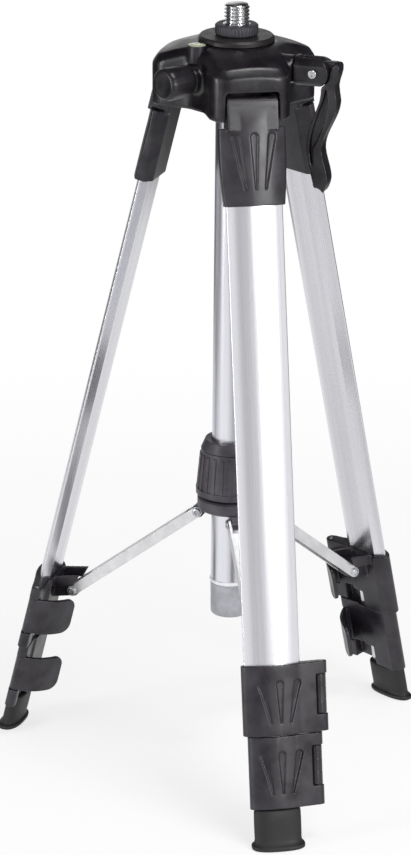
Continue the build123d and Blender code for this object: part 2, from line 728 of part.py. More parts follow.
save(elevator_column.part, "elevator_column")

# Instrument platform, stud and the rough ring that the instrument seats on
platform_low, platform_high = (level(height) for height in PLATFORM_HEIGHT)
with BuildPart() as platform:
    with BuildSketch(Plane.XY.offset(platform_low)):
        Circle(PLATFORM_RADIUS)
    extrude(amount=platform_high - platform_low)
    chamfer(platform.edges().group_by(Axis.Z)[-1], length=1.2)
    chamfer(platform.edges().group_by(Axis.Z)[0], length=0.6)
save(platform.part, "platform")

with BuildPart() as mounting_stud:
    with BuildSketch(Plane.XY.offset(platform_high)):
        Circle(STUD_NECK)
    extrude(amount=-platform_high)
    with BuildSketch(Plane.XY):
        Circle(STUD_RADIUS)
    extrude(amount=level(STUD_TOP_HEIGHT))
    chamfer(mounting_stud.edges().group_by(Axis.Z)[-1], length=STUD_LEAD)
save(mounting_stud.part, "mounting_stud")

with BuildPart() as lock_ring:
    with BuildSketch(Plane.XY.offset(platform_high + SLIDE_GAP)):
        Circle(LOCK_RING_RADIUS)
        Circle(STUD_NECK + PIN_CLEARANCE, mode=Mode.SUBTRACT)
    extrude(amount=-platform_high - SLIDE_GAP)
    rims = lock_ring.edges().filter_by(GeomType.CIRCLE)
    chamfer(rims.filter_by(lambda edge: edge.radius > LOCK_RING_RADIUS - 0.1), length=0.7)
save(lock_ring.part, "lock_ring")

# Crank: pinion on a shaft, boss with a slot for the folding arm
pinion_root = MODULE * (PINION_TEETH / 2 - 1.25)
pinion_tip = MODULE * (PINION_TEETH / 2 + 1)
with BuildPart() as pinion:
    with BuildSketch(crank_section(-PINION_WIDTH / 2)):
        Circle(pinion_root)
        with PolarLocations(0, PINION_TEETH, start_angle=180):
            Polygon(
                (pinion_root - 1, -TOOTH_FOOT / 2),
                (pinion_root, -TOOTH_FOOT / 2),
                (pinion_tip, -TOOTH_TIP / 2),
                (pinion_tip, TOOTH_TIP / 2),
                (pinion_root, TOOTH_FOOT / 2),
                (pinion_root - 1, TOOTH_FOOT / 2),
                align=None,
            )
        Circle(SHAFT_RADIUS, mode=Mode.SUBTRACT)
    extrude(amount=PINION_WIDTH)
save(pinion.part, "pinion")

with BuildPart() as crank_shaft:
    with BuildSketch(crank_section(-PINION_WIDTH / 2)):
        Circle(SHAFT_RADIUS)
    extrude(amount=PINION_WIDTH / 2 + CRANK_BOSS_START + SHAFT_SEAT)
save(crank_shaft.part, "crank_shaft")

with BuildPart() as crank_screw:
    with BuildSketch(crank_plane):
        with Locations((CRANK_PIVOT, 0)):
            Circle(CRANK_SCREW_RADIUS)
    extrude(amount=CRANK_CHEEK, both=True)
    with BuildSketch(crank_plane.offset(CRANK_CHEEK)):
        with Locations((CRANK_PIVOT, 0)):
            Circle(CRANK_SCREW_HEAD_RADIUS)
    extrude(amount=CRANK_SCREW_HEAD)
save(crank_screw.part, "crank_screw")

with BuildPart() as crank_boss:
    with BuildSketch(crank_section(CRANK_BOSS_START)):
        Circle(CRANK_BOSS_RADIUS)
    extrude(amount=CRANK_PIVOT + CRANK_BOSS_RADIUS - CRANK_BOSS_START)
    with BuildSketch(crank_plane):
        with Locations((CRANK_PIVOT, 0)):
            Circle(CRANK_BOSS_RADIUS)
        with Locations(((CRANK_BOSS_START + CRANK_PIVOT) / 2, 0)):
            Rectangle(CRANK_PIVOT - CRANK_BOSS_START, 2 * CRANK_BOSS_RADIUS)
    extrude(amount=CRANK_CHEEK, both=True, mode=Mode.INTERSECT)
    with BuildSketch(crank_plane):
        with Locations((CRANK_SLOT_START + CRANK_BOSS_RADIUS * 1.5, 0)):
            Rectangle(3 * CRANK_BOSS_RADIUS, 3 * CRANK_BOSS_RADIUS)
    extrude(amount=CRANK_SLOT / 2, both=True, mode=Mode.SUBTRACT)
    add(crank_shaft.part, mode=Mode.SUBTRACT)
    add(crank_screw.part, mode=Mode.SUBTRACT)
save(crank_boss.part, "crank_boss")

# Folding arm: flat eye in the boss, S-shaped grip with a cored pocket in each side
eye = (CRANK_PIVOT, 0)
with BuildPart() as crank_arm:
    with BuildSketch(crank_plane) as arm_side:
        with BuildLine():
            outer_edge = Spline(*ARM_OUTER)
            inner_edge = Spline(*ARM_INNER)
            RadiusArc(outer_edge @ 1, inner_edge @ 1, -ARM_TOE)
            Line(inner_edge @ 0, outer_edge @ 0)
        make_face()
        with Locations(eye):
            Circle(CRANK_BOSS_RADIUS + ARM_GAP, mode=Mode.SUBTRACT)
        fillet(arm_side.vertices().sort_by(Axis.Y)[-1], ARM_TOP_ROUND)
    extrude(amount=ARM_WIDTH / 2, both=True)
    for side in (-1, 1):
        with BuildSketch(crank_plane.offset(side * ARM_WIDTH / 2)):
            with BuildLine():
                core_outer = Spline(*[(x - ARM_OUTER_RIM, y) for x, y in ARM_OUTER[2:-2]])
                core_inner = Spline(*[(x + ARM_INNER_RIM, y) for x, y in ARM_INNER[1:-1]])
                Line(core_outer @ 0, core_inner @ 0)
                Line(core_outer @ 1, core_inner @ 1)
            make_face()
        extrude(amount=-side * ARM_POCKET, mode=Mode.SUBTRACT)
    with BuildSketch(crank_plane):
        with Locations(eye):
            Circle(ARM_EYE_RADIUS)
        with Locations((CRANK_PIVOT + ARM_BRIDGE / 2, 0)):
            Rectangle(ARM_BRIDGE, 2 * ARM_EYE_RADIUS)
    extrude(amount=(CRANK_SLOT - ARM_GAP * 2) / 2, both=True)
    with BuildSketch(crank_plane):
        with Locations(eye):
            Circle(CRANK_SCREW_RADIUS + PIN_CLEARANCE)
    extrude(amount=ARM_WIDTH, both=True, mode=Mode.SUBTRACT)
save(crank_arm.part, "crank_arm")

# Column clamp: barrel knob on a screw, with a groove behind its end ring, and the pad on the column
knob_start, knob_face = KNOB
with BuildPart() as lock_screw:
    with BuildSketch(facing(KNOB_TURN, LOCK_SCREW_TIP, KNOB_HEIGHT)):
        Circle(LOCK_SCREW_RADIUS)
    extrude(amount=knob_start + KNOB_SEAT - LOCK_SCREW_TIP)
save(lock_screw.part, "lock_screw")

ring_width, groove_width, groove_depth = KNOB_RING
with BuildPart() as lock_knob:
    with BuildSketch(facing(KNOB_TURN, knob_start, KNOB_HEIGHT)):
        Circle(KNOB_RADIUS)
    extrude(amount=knob_face - knob_start)
    knob_axis = Axis((0, 0, 0), facing(KNOB_TURN, 0, KNOB_HEIGHT).z_dir)
    chamfer(lock_knob.edges().filter_by(GeomType.CIRCLE).sort_by(knob_axis)[-1], length=2)
    with BuildSketch(facing(KNOB_TURN, knob_face - ring_width - groove_width, KNOB_HEIGHT)):
        Circle(KNOB_RADIUS + 1)
        Circle(KNOB_RADIUS - groove_depth, mode=Mode.SUBTRACT)
    extrude(amount=groove_width, mode=Mode.SUBTRACT)
    add(lock_screw.part, mode=Mode.SUBTRACT)
save(lock_knob.part, "lock_knob")

with BuildPart() as brake_pad:
    with BuildSketch(facing(KNOB_TURN, COLUMN_RADIUS + SLIDE_GAP + PIN_CLEARANCE, KNOB_HEIGHT)):
        Circle(BRAKE_PAD_RADIUS)
    extrude(amount=LOCK_SCREW_TIP - COLUMN_RADIUS - 2 * SLIDE_GAP - PIN_CLEARANCE)
save(brake_pad.part, "brake_pad")

# Round spirit level
bubble_low, bubble_high = (level(height) for height in BUBBLE_HEIGHT)
with BuildPart() as bubble_vial:
    with BuildSketch(Plane.XY.offset(bubble_low + BUBBLE_FLOOR)):
        with Locations(BUBBLE_PLACE):
            Circle(BUBBLE_RADIUS - BUBBLE_WALL)
    extrude(amount=bubble_high - bubble_low - BUBBLE_FLOOR)
    chamfer(bubble_vial.edges().group_by(Axis.Z)[-1], length=0.6)
save(bubble_vial.part, "bubble_vial")

with BuildPart() as bubble_housing:
    with BuildSketch(Plane.XY.offset(bubble_low)):
        with Locations(BUBBLE_PLACE):
            Circle(BUBBLE_RADIUS)
    extrude(amount=bubble_high - bubble_low)
    with BuildSketch(Plane.XY.offset(bubble_low + BUBBLE_FLOOR)):
        with Locations(BUBBLE_PLACE):
            Circle(BUBBLE_RADIUS - BUBBLE_WALL)
    extrude(amount=bubble_high - bubble_low, mode=Mode.SUBTRACT)
save(bubble_housing.part, "bubble_housing")

# Leg hinge pins
with BuildPart() as hinge_pin:
    with BuildSketch(Plane.YZ):
        with Locations((-PIVOT_RADIUS, level(PIVOT_HEIGHT))):
            Circle(HINGE_PIN_RADIUS)
    extrude(amount=HINGE_PIN_HALF, both=True)
with BuildPart() as leg_hinge_pins:
    for turn in LEG_TURNS.values():
        add(hinge_pin.part.moved(column_place(turn)))
save(leg_hinge_pins.part, "leg_hinge_pins")

# Head: three-lobed cap under a shallow dome, slotted for the legs' tongues
head_bottom = level(HEAD_BOTTOM_HEIGHT)
dome_centre = level(HEAD_TOP_HEIGHT) - sqrt(DOME_RADIUS**2 - SEAT_POCKET_RADIUS**2)
with BuildPart() as head:
    with BuildSketch(Plane.XY.offset(head_bottom)):
        Circle(HEAD_CORE_RADIUS)
        with PolarLocations(YOKE_REACH / 2, 3, start_angle=-90):
            Rectangle(YOKE_REACH, YOKE_WIDTH)
    extrude(amount=level(HEAD_TOP_HEIGHT) + HEADROOM - head_bottom)
    corners = head.edges().filter_by(Axis.Z)
    fillet(corners.filter_by(lambda edge: hypot(edge.center().X, edge.center().Y) > YOKE_REACH), YOKE_CORNER)
    corners = head.edges().filter_by(Axis.Z)
    fillet(corners.filter_by(lambda edge: hypot(edge.center().X, edge.center().Y) < HEAD_CORE_RADIUS + 1),
           RECESS_CORNER)
    with Locations((0, 0, dome_centre)):
        Sphere(DOME_RADIUS, mode=Mode.INTERSECT)
    chamfer(head.faces().filter_by(GeomType.SPHERE).edges(), RIM_BEVEL)
    with BuildSketch(crank_section(0)):
        Circle(BEARING_RADIUS)
    extrude(amount=BEARING_END)
    with BuildSketch(facing(KNOB_TURN, 0, KNOB_HEIGHT)):
        Circle(KNOB_BOSS_RADIUS)
    extrude(amount=KNOB_BOSS_END)
    with BuildSketch(Plane.XY.offset(head_bottom - 1)):
        with PolarLocations(YOKE_SLOT_BACK + YOKE_REACH / 2, 3, start_angle=-90):
            Rectangle(YOKE_REACH, YOKE_SLOT_WIDTH)
    extrude(amount=YOKE_SLOT_TOP - HEAD_BOTTOM_HEIGHT + 1, mode=Mode.SUBTRACT)
    with BuildSketch(Plane.XY.offset(platform_low - PLATFORM_GAP)):
        Circle(SEAT_POCKET_RADIUS)
    extrude(amount=2 * HEADROOM, mode=Mode.SUBTRACT)
    with BuildSketch(Plane.XY.offset(head_bottom)):
        Circle(COLUMN_RADIUS + SLIDE_GAP)
    extrude(amount=2 * HEADROOM - head_bottom, mode=Mode.SUBTRACT)
    with BuildSketch(Plane.XY.offset(head_bottom)):
        Circle(GUIDE_RADIUS)
    extrude(amount=guide_high - head_bottom, mode=Mode.SUBTRACT)
    with BuildSketch(crank_section(-PINION_WIDTH / 2 - SLIDE_GAP)):
        Circle(pinion_tip + SLIDE_GAP)
    extrude(amount=PINION_WIDTH + 2 * SLIDE_GAP, mode=Mode.SUBTRACT)
    with BuildSketch(crank_section(0)):
        Circle(SHAFT_RADIUS + PIN_CLEARANCE)
    extrude(amount=YOKE_REACH, mode=Mode.SUBTRACT)
    with BuildSketch(facing(KNOB_TURN, LOCK_SCREW_TIP - SLIDE_GAP, KNOB_HEIGHT)):
        Circle(LOCK_SCREW_RADIUS + SLIDE_GAP)
    extrude(amount=YOKE_REACH, mode=Mode.SUBTRACT)
    with BuildSketch(facing(KNOB_TURN, 0, KNOB_HEIGHT)):
        Circle(BRAKE_PAD_RADIUS)
    extrude(amount=LOCK_SCREW_TIP, mode=Mode.SUBTRACT)
    with BuildSketch(Plane.XY.offset(bubble_low)):
        with Locations(BUBBLE_PLACE):
            Circle(BUBBLE_RADIUS)
    extrude(amount=bubble_high - bubble_low, mode=Mode.SUBTRACT)
    add(leg_hinge_pins.part, mode=Mode.SUBTRACT)
save(head.part, "head")
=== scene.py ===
import json
from math import cos, pi, radians, sin, sqrt, tau

import bmesh
import bpy
from bpy.props import FloatProperty, FloatVectorProperty, IntProperty, PointerProperty
from bpy.types import Operator, Panel, PropertyGroup
from mathutils import Matrix, Vector


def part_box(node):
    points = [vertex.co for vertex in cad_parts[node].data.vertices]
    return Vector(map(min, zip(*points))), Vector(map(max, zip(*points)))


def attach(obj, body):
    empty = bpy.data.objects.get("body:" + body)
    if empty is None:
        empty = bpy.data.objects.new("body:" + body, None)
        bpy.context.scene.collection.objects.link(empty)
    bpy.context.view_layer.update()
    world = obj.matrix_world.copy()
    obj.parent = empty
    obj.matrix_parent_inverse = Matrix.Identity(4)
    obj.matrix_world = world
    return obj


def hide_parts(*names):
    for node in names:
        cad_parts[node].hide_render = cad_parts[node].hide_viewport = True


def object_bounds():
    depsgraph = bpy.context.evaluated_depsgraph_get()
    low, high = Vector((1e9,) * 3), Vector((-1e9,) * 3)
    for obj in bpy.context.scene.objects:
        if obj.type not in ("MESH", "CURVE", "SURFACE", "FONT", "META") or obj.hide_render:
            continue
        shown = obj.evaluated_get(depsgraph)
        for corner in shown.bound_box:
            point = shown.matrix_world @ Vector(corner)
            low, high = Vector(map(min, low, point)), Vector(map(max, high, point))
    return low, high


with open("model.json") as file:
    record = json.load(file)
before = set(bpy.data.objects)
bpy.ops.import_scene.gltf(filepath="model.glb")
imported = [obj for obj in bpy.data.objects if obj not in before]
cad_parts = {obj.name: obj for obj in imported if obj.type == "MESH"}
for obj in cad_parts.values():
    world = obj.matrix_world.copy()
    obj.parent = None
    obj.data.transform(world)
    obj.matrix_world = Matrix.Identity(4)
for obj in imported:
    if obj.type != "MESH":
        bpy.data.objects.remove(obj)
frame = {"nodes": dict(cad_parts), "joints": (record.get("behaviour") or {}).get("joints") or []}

bl_info = {
    "name": "Elevating tripod",
    "version": (1, 0, 0),
    "blender": (4, 5, 0),
    "location": "View3D > Sidebar > Tripod",
    "description": "Finishes, threads, knurls, levers and rivets of an elevating instrument tripod",
    "category": "Object",
}

CAD_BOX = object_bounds()
MM = 0.001
LEGS = ("front", "right", "left")
JOINTS = {joint["name"]: joint for joint in frame["joints"]}

# Skins of the mouldings: voxel in millimetres, rounds of smoothing and share of the faces that is kept
HEAD_SKIN = (0.9, 14, 0.25)
CRANK_SKIN = (0.45, 8, 0.2)
LEG_TOP_SKIN = (0.45, 5, 0.18)
COLLAR_SKIN = (0.4, 3, 0.15)


def mm(*lengths):
    """Lengths in metres, from millimetres."""
    return tuple(length * MM for length in lengths)


def linear(code):
    """Linear RGB of an sRGB hex colour."""
    parts = [int(code[start:start + 2], 16) / 255 for start in (1, 3, 5)]
    return tuple(c / 12.92 if c <= 0.04045 else ((c + 0.055) / 1.055) ** 2.4 for c in parts)


def colour_property(name, description, code):
    return FloatVectorProperty(name=name, description=description, subtype="COLOR", default=linear(code))


def length_property(name, description, size_mm, least_mm=0):
    return FloatProperty(name=name, description=description, unit="LENGTH", default=size_mm * MM,
                         min=least_mm * MM)


class TripodColours(PropertyGroup):
    """Colours of the finishes."""

    plastic: colour_property("Head", "Black ABS of the head, knob and crank", "#141016")
    fitting: colour_property("Fittings", "Black ABS of the fittings, collars and levers", "#1E1A21")
    hub: colour_property("Hub", "Dark grey ABS of the spreader's hub", "#3B373F")
    worn_edge: colour_property("Rubbed edge", "Tone of the plastic where its edges are rubbed", "#434248")
    tube: colour_property("Leg tube", "Anodised aluminium of the leg tubes", "#E0E0E5")
    column: colour_property("Column tube", "Anodised aluminium of the guide tube and column", "#E3E3EA")
    strut: colour_property("Strut", "Pressed aluminium of the spreader's struts", "#DADADC")
    steel: colour_property("Steel", "Zinc-plated steel of pins, rivets and screws", "#B9BBBF")
    chrome: colour_property("Stud", "Chromed steel of the stud", "#E9EAEC")
    dark_metal: colour_property("Platform", "Blackened metal of the platform", "#322F31")
    ring: colour_property("Lock ring", "Dull dark metal of the lock ring", "#46454A")
    grey_plastic: colour_property("End cap", "Grey polypropylene of the guide tube's cap", "#9A9BA1")
    rubber: colour_property("Boot", "Black rubber of the feet", "#0E0D0F")
    liquid: colour_property("Liquid", "Liquid of the spirit level", "#E6EBCF")


class TripodSizes(PropertyGroup):
    """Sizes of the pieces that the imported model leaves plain."""

    stud_diameter: length_property("Stud diameter", "Outside diameter of the 5/8 inch thread", 15.875)
    thread_start: length_property("Thread start", "Height over the seat where the thread begins", 0.4)
    thread_pitch: length_property("Thread pitch", "Pitch of the 5/8 inch stud", 25.4 / 11, 0.5)
    thread_depth: length_property("Thread depth", "Crest to root of the stud's thread", 1.4)
    stud_lead: length_property("Stud lead", "Chamfer at the stud's tip", 1.3)
    knurl_pitch: length_property("Knurl pitch", "Spacing of the lock ring's knurl", 2.1, 0.3)
    knurl_depth: length_property("Knurl depth", "Depth of the lock ring's knurl", 0.5)
    lever_thickness: length_property("Lever thickness", "Thickness of a flip lever's plate", 2.5)
    lever_corner: length_property("Lever corner", "Rounding of a flip lever's free end", 7)
    rivet_head: length_property("Rivet head", "Radius of the struts' rivet heads", 2.9)
    rivet_rise: length_property("Rivet rise", "Height of a rivet head", 1.0)
    rivet_gap: length_property("Rivet gap", "Play between the hub's rivets and the struts", 0.3)
    socket: length_property("Hex socket", "Across flats of the crank screw's socket", 2.5)
    bubble: length_property("Bubble", "Radius of the spirit level's bubble", 1.5)
    cap_lip: length_property("Cap lip", "Height of the end cap's rolled lip", 3)
    ring_segments: IntProperty(
        name="Round segments", description="Segments round a turned piece", default=72, min=24, max=256)


def sizes():
    return bpy.context.scene.tripod_sizes


def node_object(name):
    """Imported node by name."""
    if name not in frame["nodes"]:
        raise RuntimeError(f"the packed model has no node {name}")
    return frame["nodes"][name]


def leg_nodes(*endings):
    return [f"{leg}_{ending}" for leg in LEGS for ending in endings]


def frame_at(origin, *axes):
    """Frame of three axes at a point."""
    place = Matrix(axes).transposed().to_4x4()
    place.translation = origin
    return place


def leg_frame(leg):
    """Frame of a leg: origin at its hinge, Z up the leg, outer face towards -Y."""
    hinge = JOINTS[f"{leg}_leg_fold"]
    across = Vector(hinge["axis"]).normalized()
    up = -Vector(JOINTS[f"{leg}_middle_slide"]["axis"]).normalized()
    return frame_at(Vector(hinge["pos_m"]), across, up.cross(across), up)


def joint_frame(name, origin=None):
    """Frame with Z along a joint's level axis, at the joint or at another point."""
    joint = JOINTS[name]
    up = Vector(joint["axis"]).normalized()
    across = Vector((0, 0, 1)).cross(up).normalized()
    return frame_at(Vector(joint["pos_m"]) if origin is None else origin, across, up.cross(across), up)


def local_box(name, place):
    """Corners of a node's box in another frame."""
    back = place.inverted()
    points = [back @ vertex.co for vertex in node_object(name).data.vertices]
    low = Vector([min(point[axis] for point in points) for axis in range(3)])
    high = Vector([max(point[axis] for point in points) for axis in range(3)])
    return low, high


def upright(name):
    """Frame on the axis of an upright turned node, its radius, its lowest and its highest point."""
    low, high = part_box(name)
    place = Matrix.Translation(((low.x + high.x) / 2, (low.y + high.y) / 2, 0))
    return place, (high.x - low.x) / 2, low.z, high.z


def add_object(name, data):
    """Object in the scene."""
    made = bpy.data.objects.new(name, data)
    bpy.context.scene.collection.objects.link(made)
    return made


def show_piece(name, mesh, body, look, node=None):
    """Object of a mesh with a finish, riding on a body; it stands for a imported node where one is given."""
    mesh.materials.clear()
    mesh.materials.append(finish(look))
    piece = add_object(name, mesh)
    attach(piece, body)
    if node:
        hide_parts(node)
    return piece


def make_piece(name, mesh_maker, place, body, look, smooth_angle=35, node=None):
    """Piece from mesh code, set in a frame."""
    mesh = bpy.data.meshes.new(name)
    shape = bmesh.new()
    mesh_maker(shape)
    bmesh.ops.remove_doubles(shape, verts=shape.verts, dist=1e-7)
    bmesh.ops.recalc_face_normals(shape, faces=shape.faces)
    shape.to_mesh(mesh)
    shape.free()
    mesh.transform(place)
    mesh.shade_smooth()
    mesh.set_sharp_from_angle(angle=radians(smooth_angle))
    return show_piece(name, mesh, body, look, node)


def turned(shape, profile, segments, radius_at=None, place=Matrix.Identity(4)):
    """Rings of points of a turned body; profile is (radius, height) from one end to the other."""
    rings = []
    for row, (radius, height) in enumerate(profile):
        ring = []
        for step in range(segments):
            angle = tau * step / segments
            reach = radius_at(radius, height, angle, row) if radius_at else radius
            point = Vector((reach * cos(angle), reach * sin(angle), height))
            ring.append(shape.verts.new(place @ point))
        rings.append(ring)
    return rings


def join_rings(shape, rings):
    """Faces between successive rings of points."""
    for lower, upper in zip(rings, rings[1:]):
        for step, point in enumerate(lower):
            after = (step + 1) % len(lower)
            shape.faces.new((point, lower[after], upper[after], upper[step]))


def solid(shape, rings):
    """Closed body of rings of points, with flat ends."""
    join_rings(shape, rings)
    shape.faces.new(rings[0])
    shape.faces.new(rings[-1])


def hollow(shape, rings):
    """Closed body of rings of points, round a hole."""
    join_rings(shape, [*rings, rings[0]])


def turn_piece(name, profile, place, body, look, smooth_angle=35, node=None, segments=None,
               radius_at=None, close=solid):
    """Turned piece, with flat ends or round a hole."""
    def body_of_rings(shape):
        close(shape, turned(shape, profile, segments or sizes().ring_segments, radius_at))

    make_piece(name, body_of_rings, place, body, look, smooth_angle, node)


def slab(shape, near, far):
    """Closed body between two grids of points."""
    rows, columns = len(near) - 1, len(near[0]) - 1
    for sheet in (near, far):
        for first, second in zip(sheet, sheet[1:]):
            for column in range(columns):
                shape.faces.new((first[column], first[column + 1], second[column + 1], second[column]))
    for row in (0, rows):
        for column in range(columns):
            shape.faces.new((near[row][column], near[row][column + 1], far[row][column + 1],
                             far[row][column]))
    for column in (0, columns):
        for row in range(rows):
            shape.faces.new((near[row][column], near[row + 1][column], far[row + 1][column],
                             far[row][column]))


def softened(sources, voxel, passes, share):
    """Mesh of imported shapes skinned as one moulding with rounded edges; the voxel is in millimetres."""
    shape = bmesh.new()
    for source in sources:
        shape.from_mesh(source)
    bmesh.ops.remove_doubles(shape, verts=shape.verts, dist=1e-6)
    mesh = bpy.data.meshes.new("skin")
    shape.to_mesh(mesh)
    shape.free()
    holder = add_object("skin", mesh)
    skin = holder.modifiers.new("even skin", "REMESH")
    skin.mode = "VOXEL"
    skin.voxel_size = voxel * MM
    ease = holder.modifiers.new("rounded edges", "SMOOTH")
    ease.factor = 0.5
    ease.iterations = passes
    fewer = holder.modifiers.new("fewer faces", "DECIMATE")
    fewer.ratio = share
    made = bpy.data.meshes.new_from_object(holder.evaluated_get(bpy.context.evaluated_depsgraph_get()))
    bpy.data.objects.remove(holder)
    bpy.data.meshes.remove(mesh)
    if not made.polygons:
        raise RuntimeError("a moulding's skin came out empty")
    return made


def place_skin(mesh, node, body, look):
    """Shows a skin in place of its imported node."""
    mesh.name = f"{node}_skin"
    mesh.shade_smooth()
    show_piece(f"{node}_skin", mesh, body, look, node)


def skin_legs(ending, sources, body, skin):
    """Skins a fitting of the front leg and sets it on all three."""
    mesh = softened(sources, *skin)
    for leg in LEGS:
        placed = mesh.copy()
        placed.transform(leg_frame(leg) @ leg_frame("front").inverted())
        place_skin(placed, f"{leg}_{ending}", f"{leg}_{body}", "abs")
    bpy.data.meshes.remove(mesh)


def finish_nodes(names, look):
    """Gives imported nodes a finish."""
    for name in names:
        mesh = node_object(name).data
        mesh.materials.clear()
        mesh.materials.append(finish(look))


def wire(tree, made, links):
    """Links sources to a node's sockets; a node stands for the first of its outputs that is in use."""
    for socket, source in links.items():
        if isinstance(source, bpy.types.Node):
            source = next(output for output in source.outputs if output.enabled)
        tree.links.new(source, made.inputs[socket])


def add_node(tree, kind, sets=None, links=None, **settings):
    """Adds a shader node with its settings, socket values and links."""
    made = tree.nodes.new(f"ShaderNode{kind}")
    for key, value in settings.items():
        setattr(made, key, value)
    for socket, value in (sets or {}).items():
        made.inputs[socket].default_value = value
    wire(tree, made, links or {})
    return made


def new_material(name, sets=None):
    """Node material, its tree, its shader linked to the output, and the place on the object."""
    material = bpy.data.materials.new(name)
    material.use_nodes = True
    tree = material.node_tree
    tree.nodes.clear()
    shader = add_node(tree, "BsdfPrincipled", sets)
    add_node(tree, "OutputMaterial", links={"Surface": shader})
    return material, tree, shader, add_node(tree, "TexCoord").outputs["Object"]


def per_metre(size_mm):
    """Texture scale of a pattern whose feature is a size in millimetres."""
    return 1000 / size_mm


def varied(tree, colour, pattern, darkest, palest):
    """Colour that a pattern makes darker and paler, by factors."""
    tone = add_node(tree, "MapRange", {"From Min": 0.3, "From Max": 0.7, "To Min": darkest, "To Max": palest},
                    {"Value": pattern})
    return add_node(tree, "Mix", {"Factor": 1.0, "A": (*colour, 1)}, {"B": tone}, data_type="RGBA",
                    blend_type="MULTIPLY")


def dress(tree, shader, base, film, smoothest, dullest, relief, strength, depth_mm, normal=None,
          span=(0.25, 0.75)):
    """Gives a shader its base colour, a roughness that a film sets between two values, and a relief."""
    shine = add_node(tree, "MapRange",
                     {"From Min": span[0], "From Max": span[1], "To Min": smoothest, "To Max": dullest},
                     {"Value": film})
    bump = add_node(tree, "Bump", {"Strength": strength, "Distance": depth_mm * MM}, {"Height": relief})
    if normal is not None:
        wire(tree, bump, {"Normal": normal})
    wire(tree, shader, {"Base Color": base, "Roughness": shine, "Normal": bump})


def moulded_plastic(name, colour, edge_colour, roughness, round_mm=0.7):
    # Injection-moulded ABS, polypropylene or nylon from a spark-eroded tool: satin with soft wide highlights,
    # a fine grain and a patchy film from handling that break them up, and edges rubbed a little paler; the
    # grain is drawn coarser than the real one so that it shows
    material, tree, shader, place = new_material(name, {"IOR": 1.5})
    grain = add_node(tree, "TexNoise", {"Scale": per_metre(0.9), "Detail": 2.0}, {"Vector": place})
    film = add_node(tree, "TexNoise", {"Scale": per_metre(13), "Detail": 4.0}, {"Vector": place})
    rounded = add_node(tree, "Bevel", {"Radius": round_mm * MM}, samples=6)
    facing = add_node(tree, "NewGeometry").outputs["Normal"]
    match = add_node(tree, "VectorMath", links={0: rounded, 1: facing}, operation="DOT_PRODUCT")
    rubbed = add_node(tree, "MapRange", {"From Min": 0.995, "From Max": 0.86, "To Min": 0.0, "To Max": 0.55},
                      {"Value": match})
    patchy = add_node(tree, "Math", links={0: rubbed, 1: film}, operation="MULTIPLY")
    surface = add_node(tree, "Mix", {"B": (*edge_colour, 1)},
                       {"Factor": patchy, "A": varied(tree, colour, film, 0.75, 1.35)}, data_type="RGBA")
    gloss = add_node(tree, "MapRange", {"From Min": 0.3, "From Max": 0.7, "To Min": 0.38, "To Max": 0.66},
                     {"Value": film})
    dress(tree, shader, surface, film, roughness - 0.1, roughness + 0.14, grain, 0.12, 0.08, rounded)
    wire(tree, shader, {"Specular IOR Level": gloss})
    return material


def drawn_aluminium(name, colour, turn, roughness):
    # Extruded aluminium tube, drawn and clear anodised: bright satin with fine lines along the tube that
    # stretch reflections lengthwise, and faint bands of darker and paler tone along the tube that are painted
    # reflection stripes; the lines are drawn coarser than the real ones so that they show
    material, tree, shader, place = new_material(name, {"Metallic": 1.0})
    along = add_node(tree, "Mapping", {"Rotation": turn}, {"Vector": place}, vector_type="TEXTURE")
    patterns = []
    for across_mm, along_mm, detail in ((0.8, 120, 3.0), (9, 900, 1.0)):
        stretch = (per_metre(across_mm), per_metre(across_mm), per_metre(along_mm))
        drawn = add_node(tree, "Mapping", {"Scale": stretch}, {"Vector": along})
        patterns.append(add_node(tree, "TexNoise", {"Scale": 1.0, "Detail": detail}, {"Vector": drawn}))
    # The wide bands darken and pale the tube's colour in stripes along it: painted reflection stripes
    lines, painted_reflection_bands = patterns
    dress(tree, shader, varied(tree, colour, painted_reflection_bands, 0.82, 1.04), lines, roughness - 0.03, roughness + 0.05,
          lines, 0.02, 0.05)
    return material


def plated_metal(name, colour, roughness, grain_mm, grain_depth):
    # Bare or plated metal, pressed or machined: a cloudy metal tone with a fine even tooth, brighter where
    # it is smooth and duller where the plating lies rough
    material, tree, shader, place = new_material(name, {"Metallic": 1.0})
    tooth = add_node(tree, "TexNoise", {"Scale": per_metre(grain_mm), "Detail": 4.0}, {"Vector": place})
    cloud = add_node(tree, "TexNoise", {"Scale": per_metre(9), "Detail": 2.0}, {"Vector": place})
    rounded = add_node(tree, "Bevel", {"Radius": 0.35 * MM}, samples=4)
    dress(tree, shader, varied(tree, colour, cloud, 0.88, 1.05), tooth, roughness * 0.8, roughness * 1.25,
          tooth, 0.15, grain_depth, rounded)
    return material


def turned_dark_metal(name, colour, roughness):
    # Turned or cast metal, blackened: dark satin with concentric tool marks about 0.7 mm apart, which fan
    # the highlight out from the axis
    material, tree, shader, place = new_material(name, {"Metallic": 0.55})
    flat = add_node(tree, "VectorMath", {1: (1, 1, 0)}, {0: place}, operation="MULTIPLY")
    reach = add_node(tree, "VectorMath", links={0: flat}, operation="LENGTH")
    phase = add_node(tree, "Math", {1: tau * per_metre(0.7)}, {0: reach}, operation="MULTIPLY")
    marks = add_node(tree, "Math", links={0: phase}, operation="SINE")
    cloud = add_node(tree, "TexNoise", {"Scale": per_metre(7), "Detail": 4.0}, {"Vector": place})
    rounded = add_node(tree, "Bevel", {"Radius": 0.5 * MM}, samples=4)
    dress(tree, shader, varied(tree, colour, cloud, 0.8, 1.25), cloud, roughness, roughness + 0.16, marks,
          0.2, 0.04, rounded)
    return material


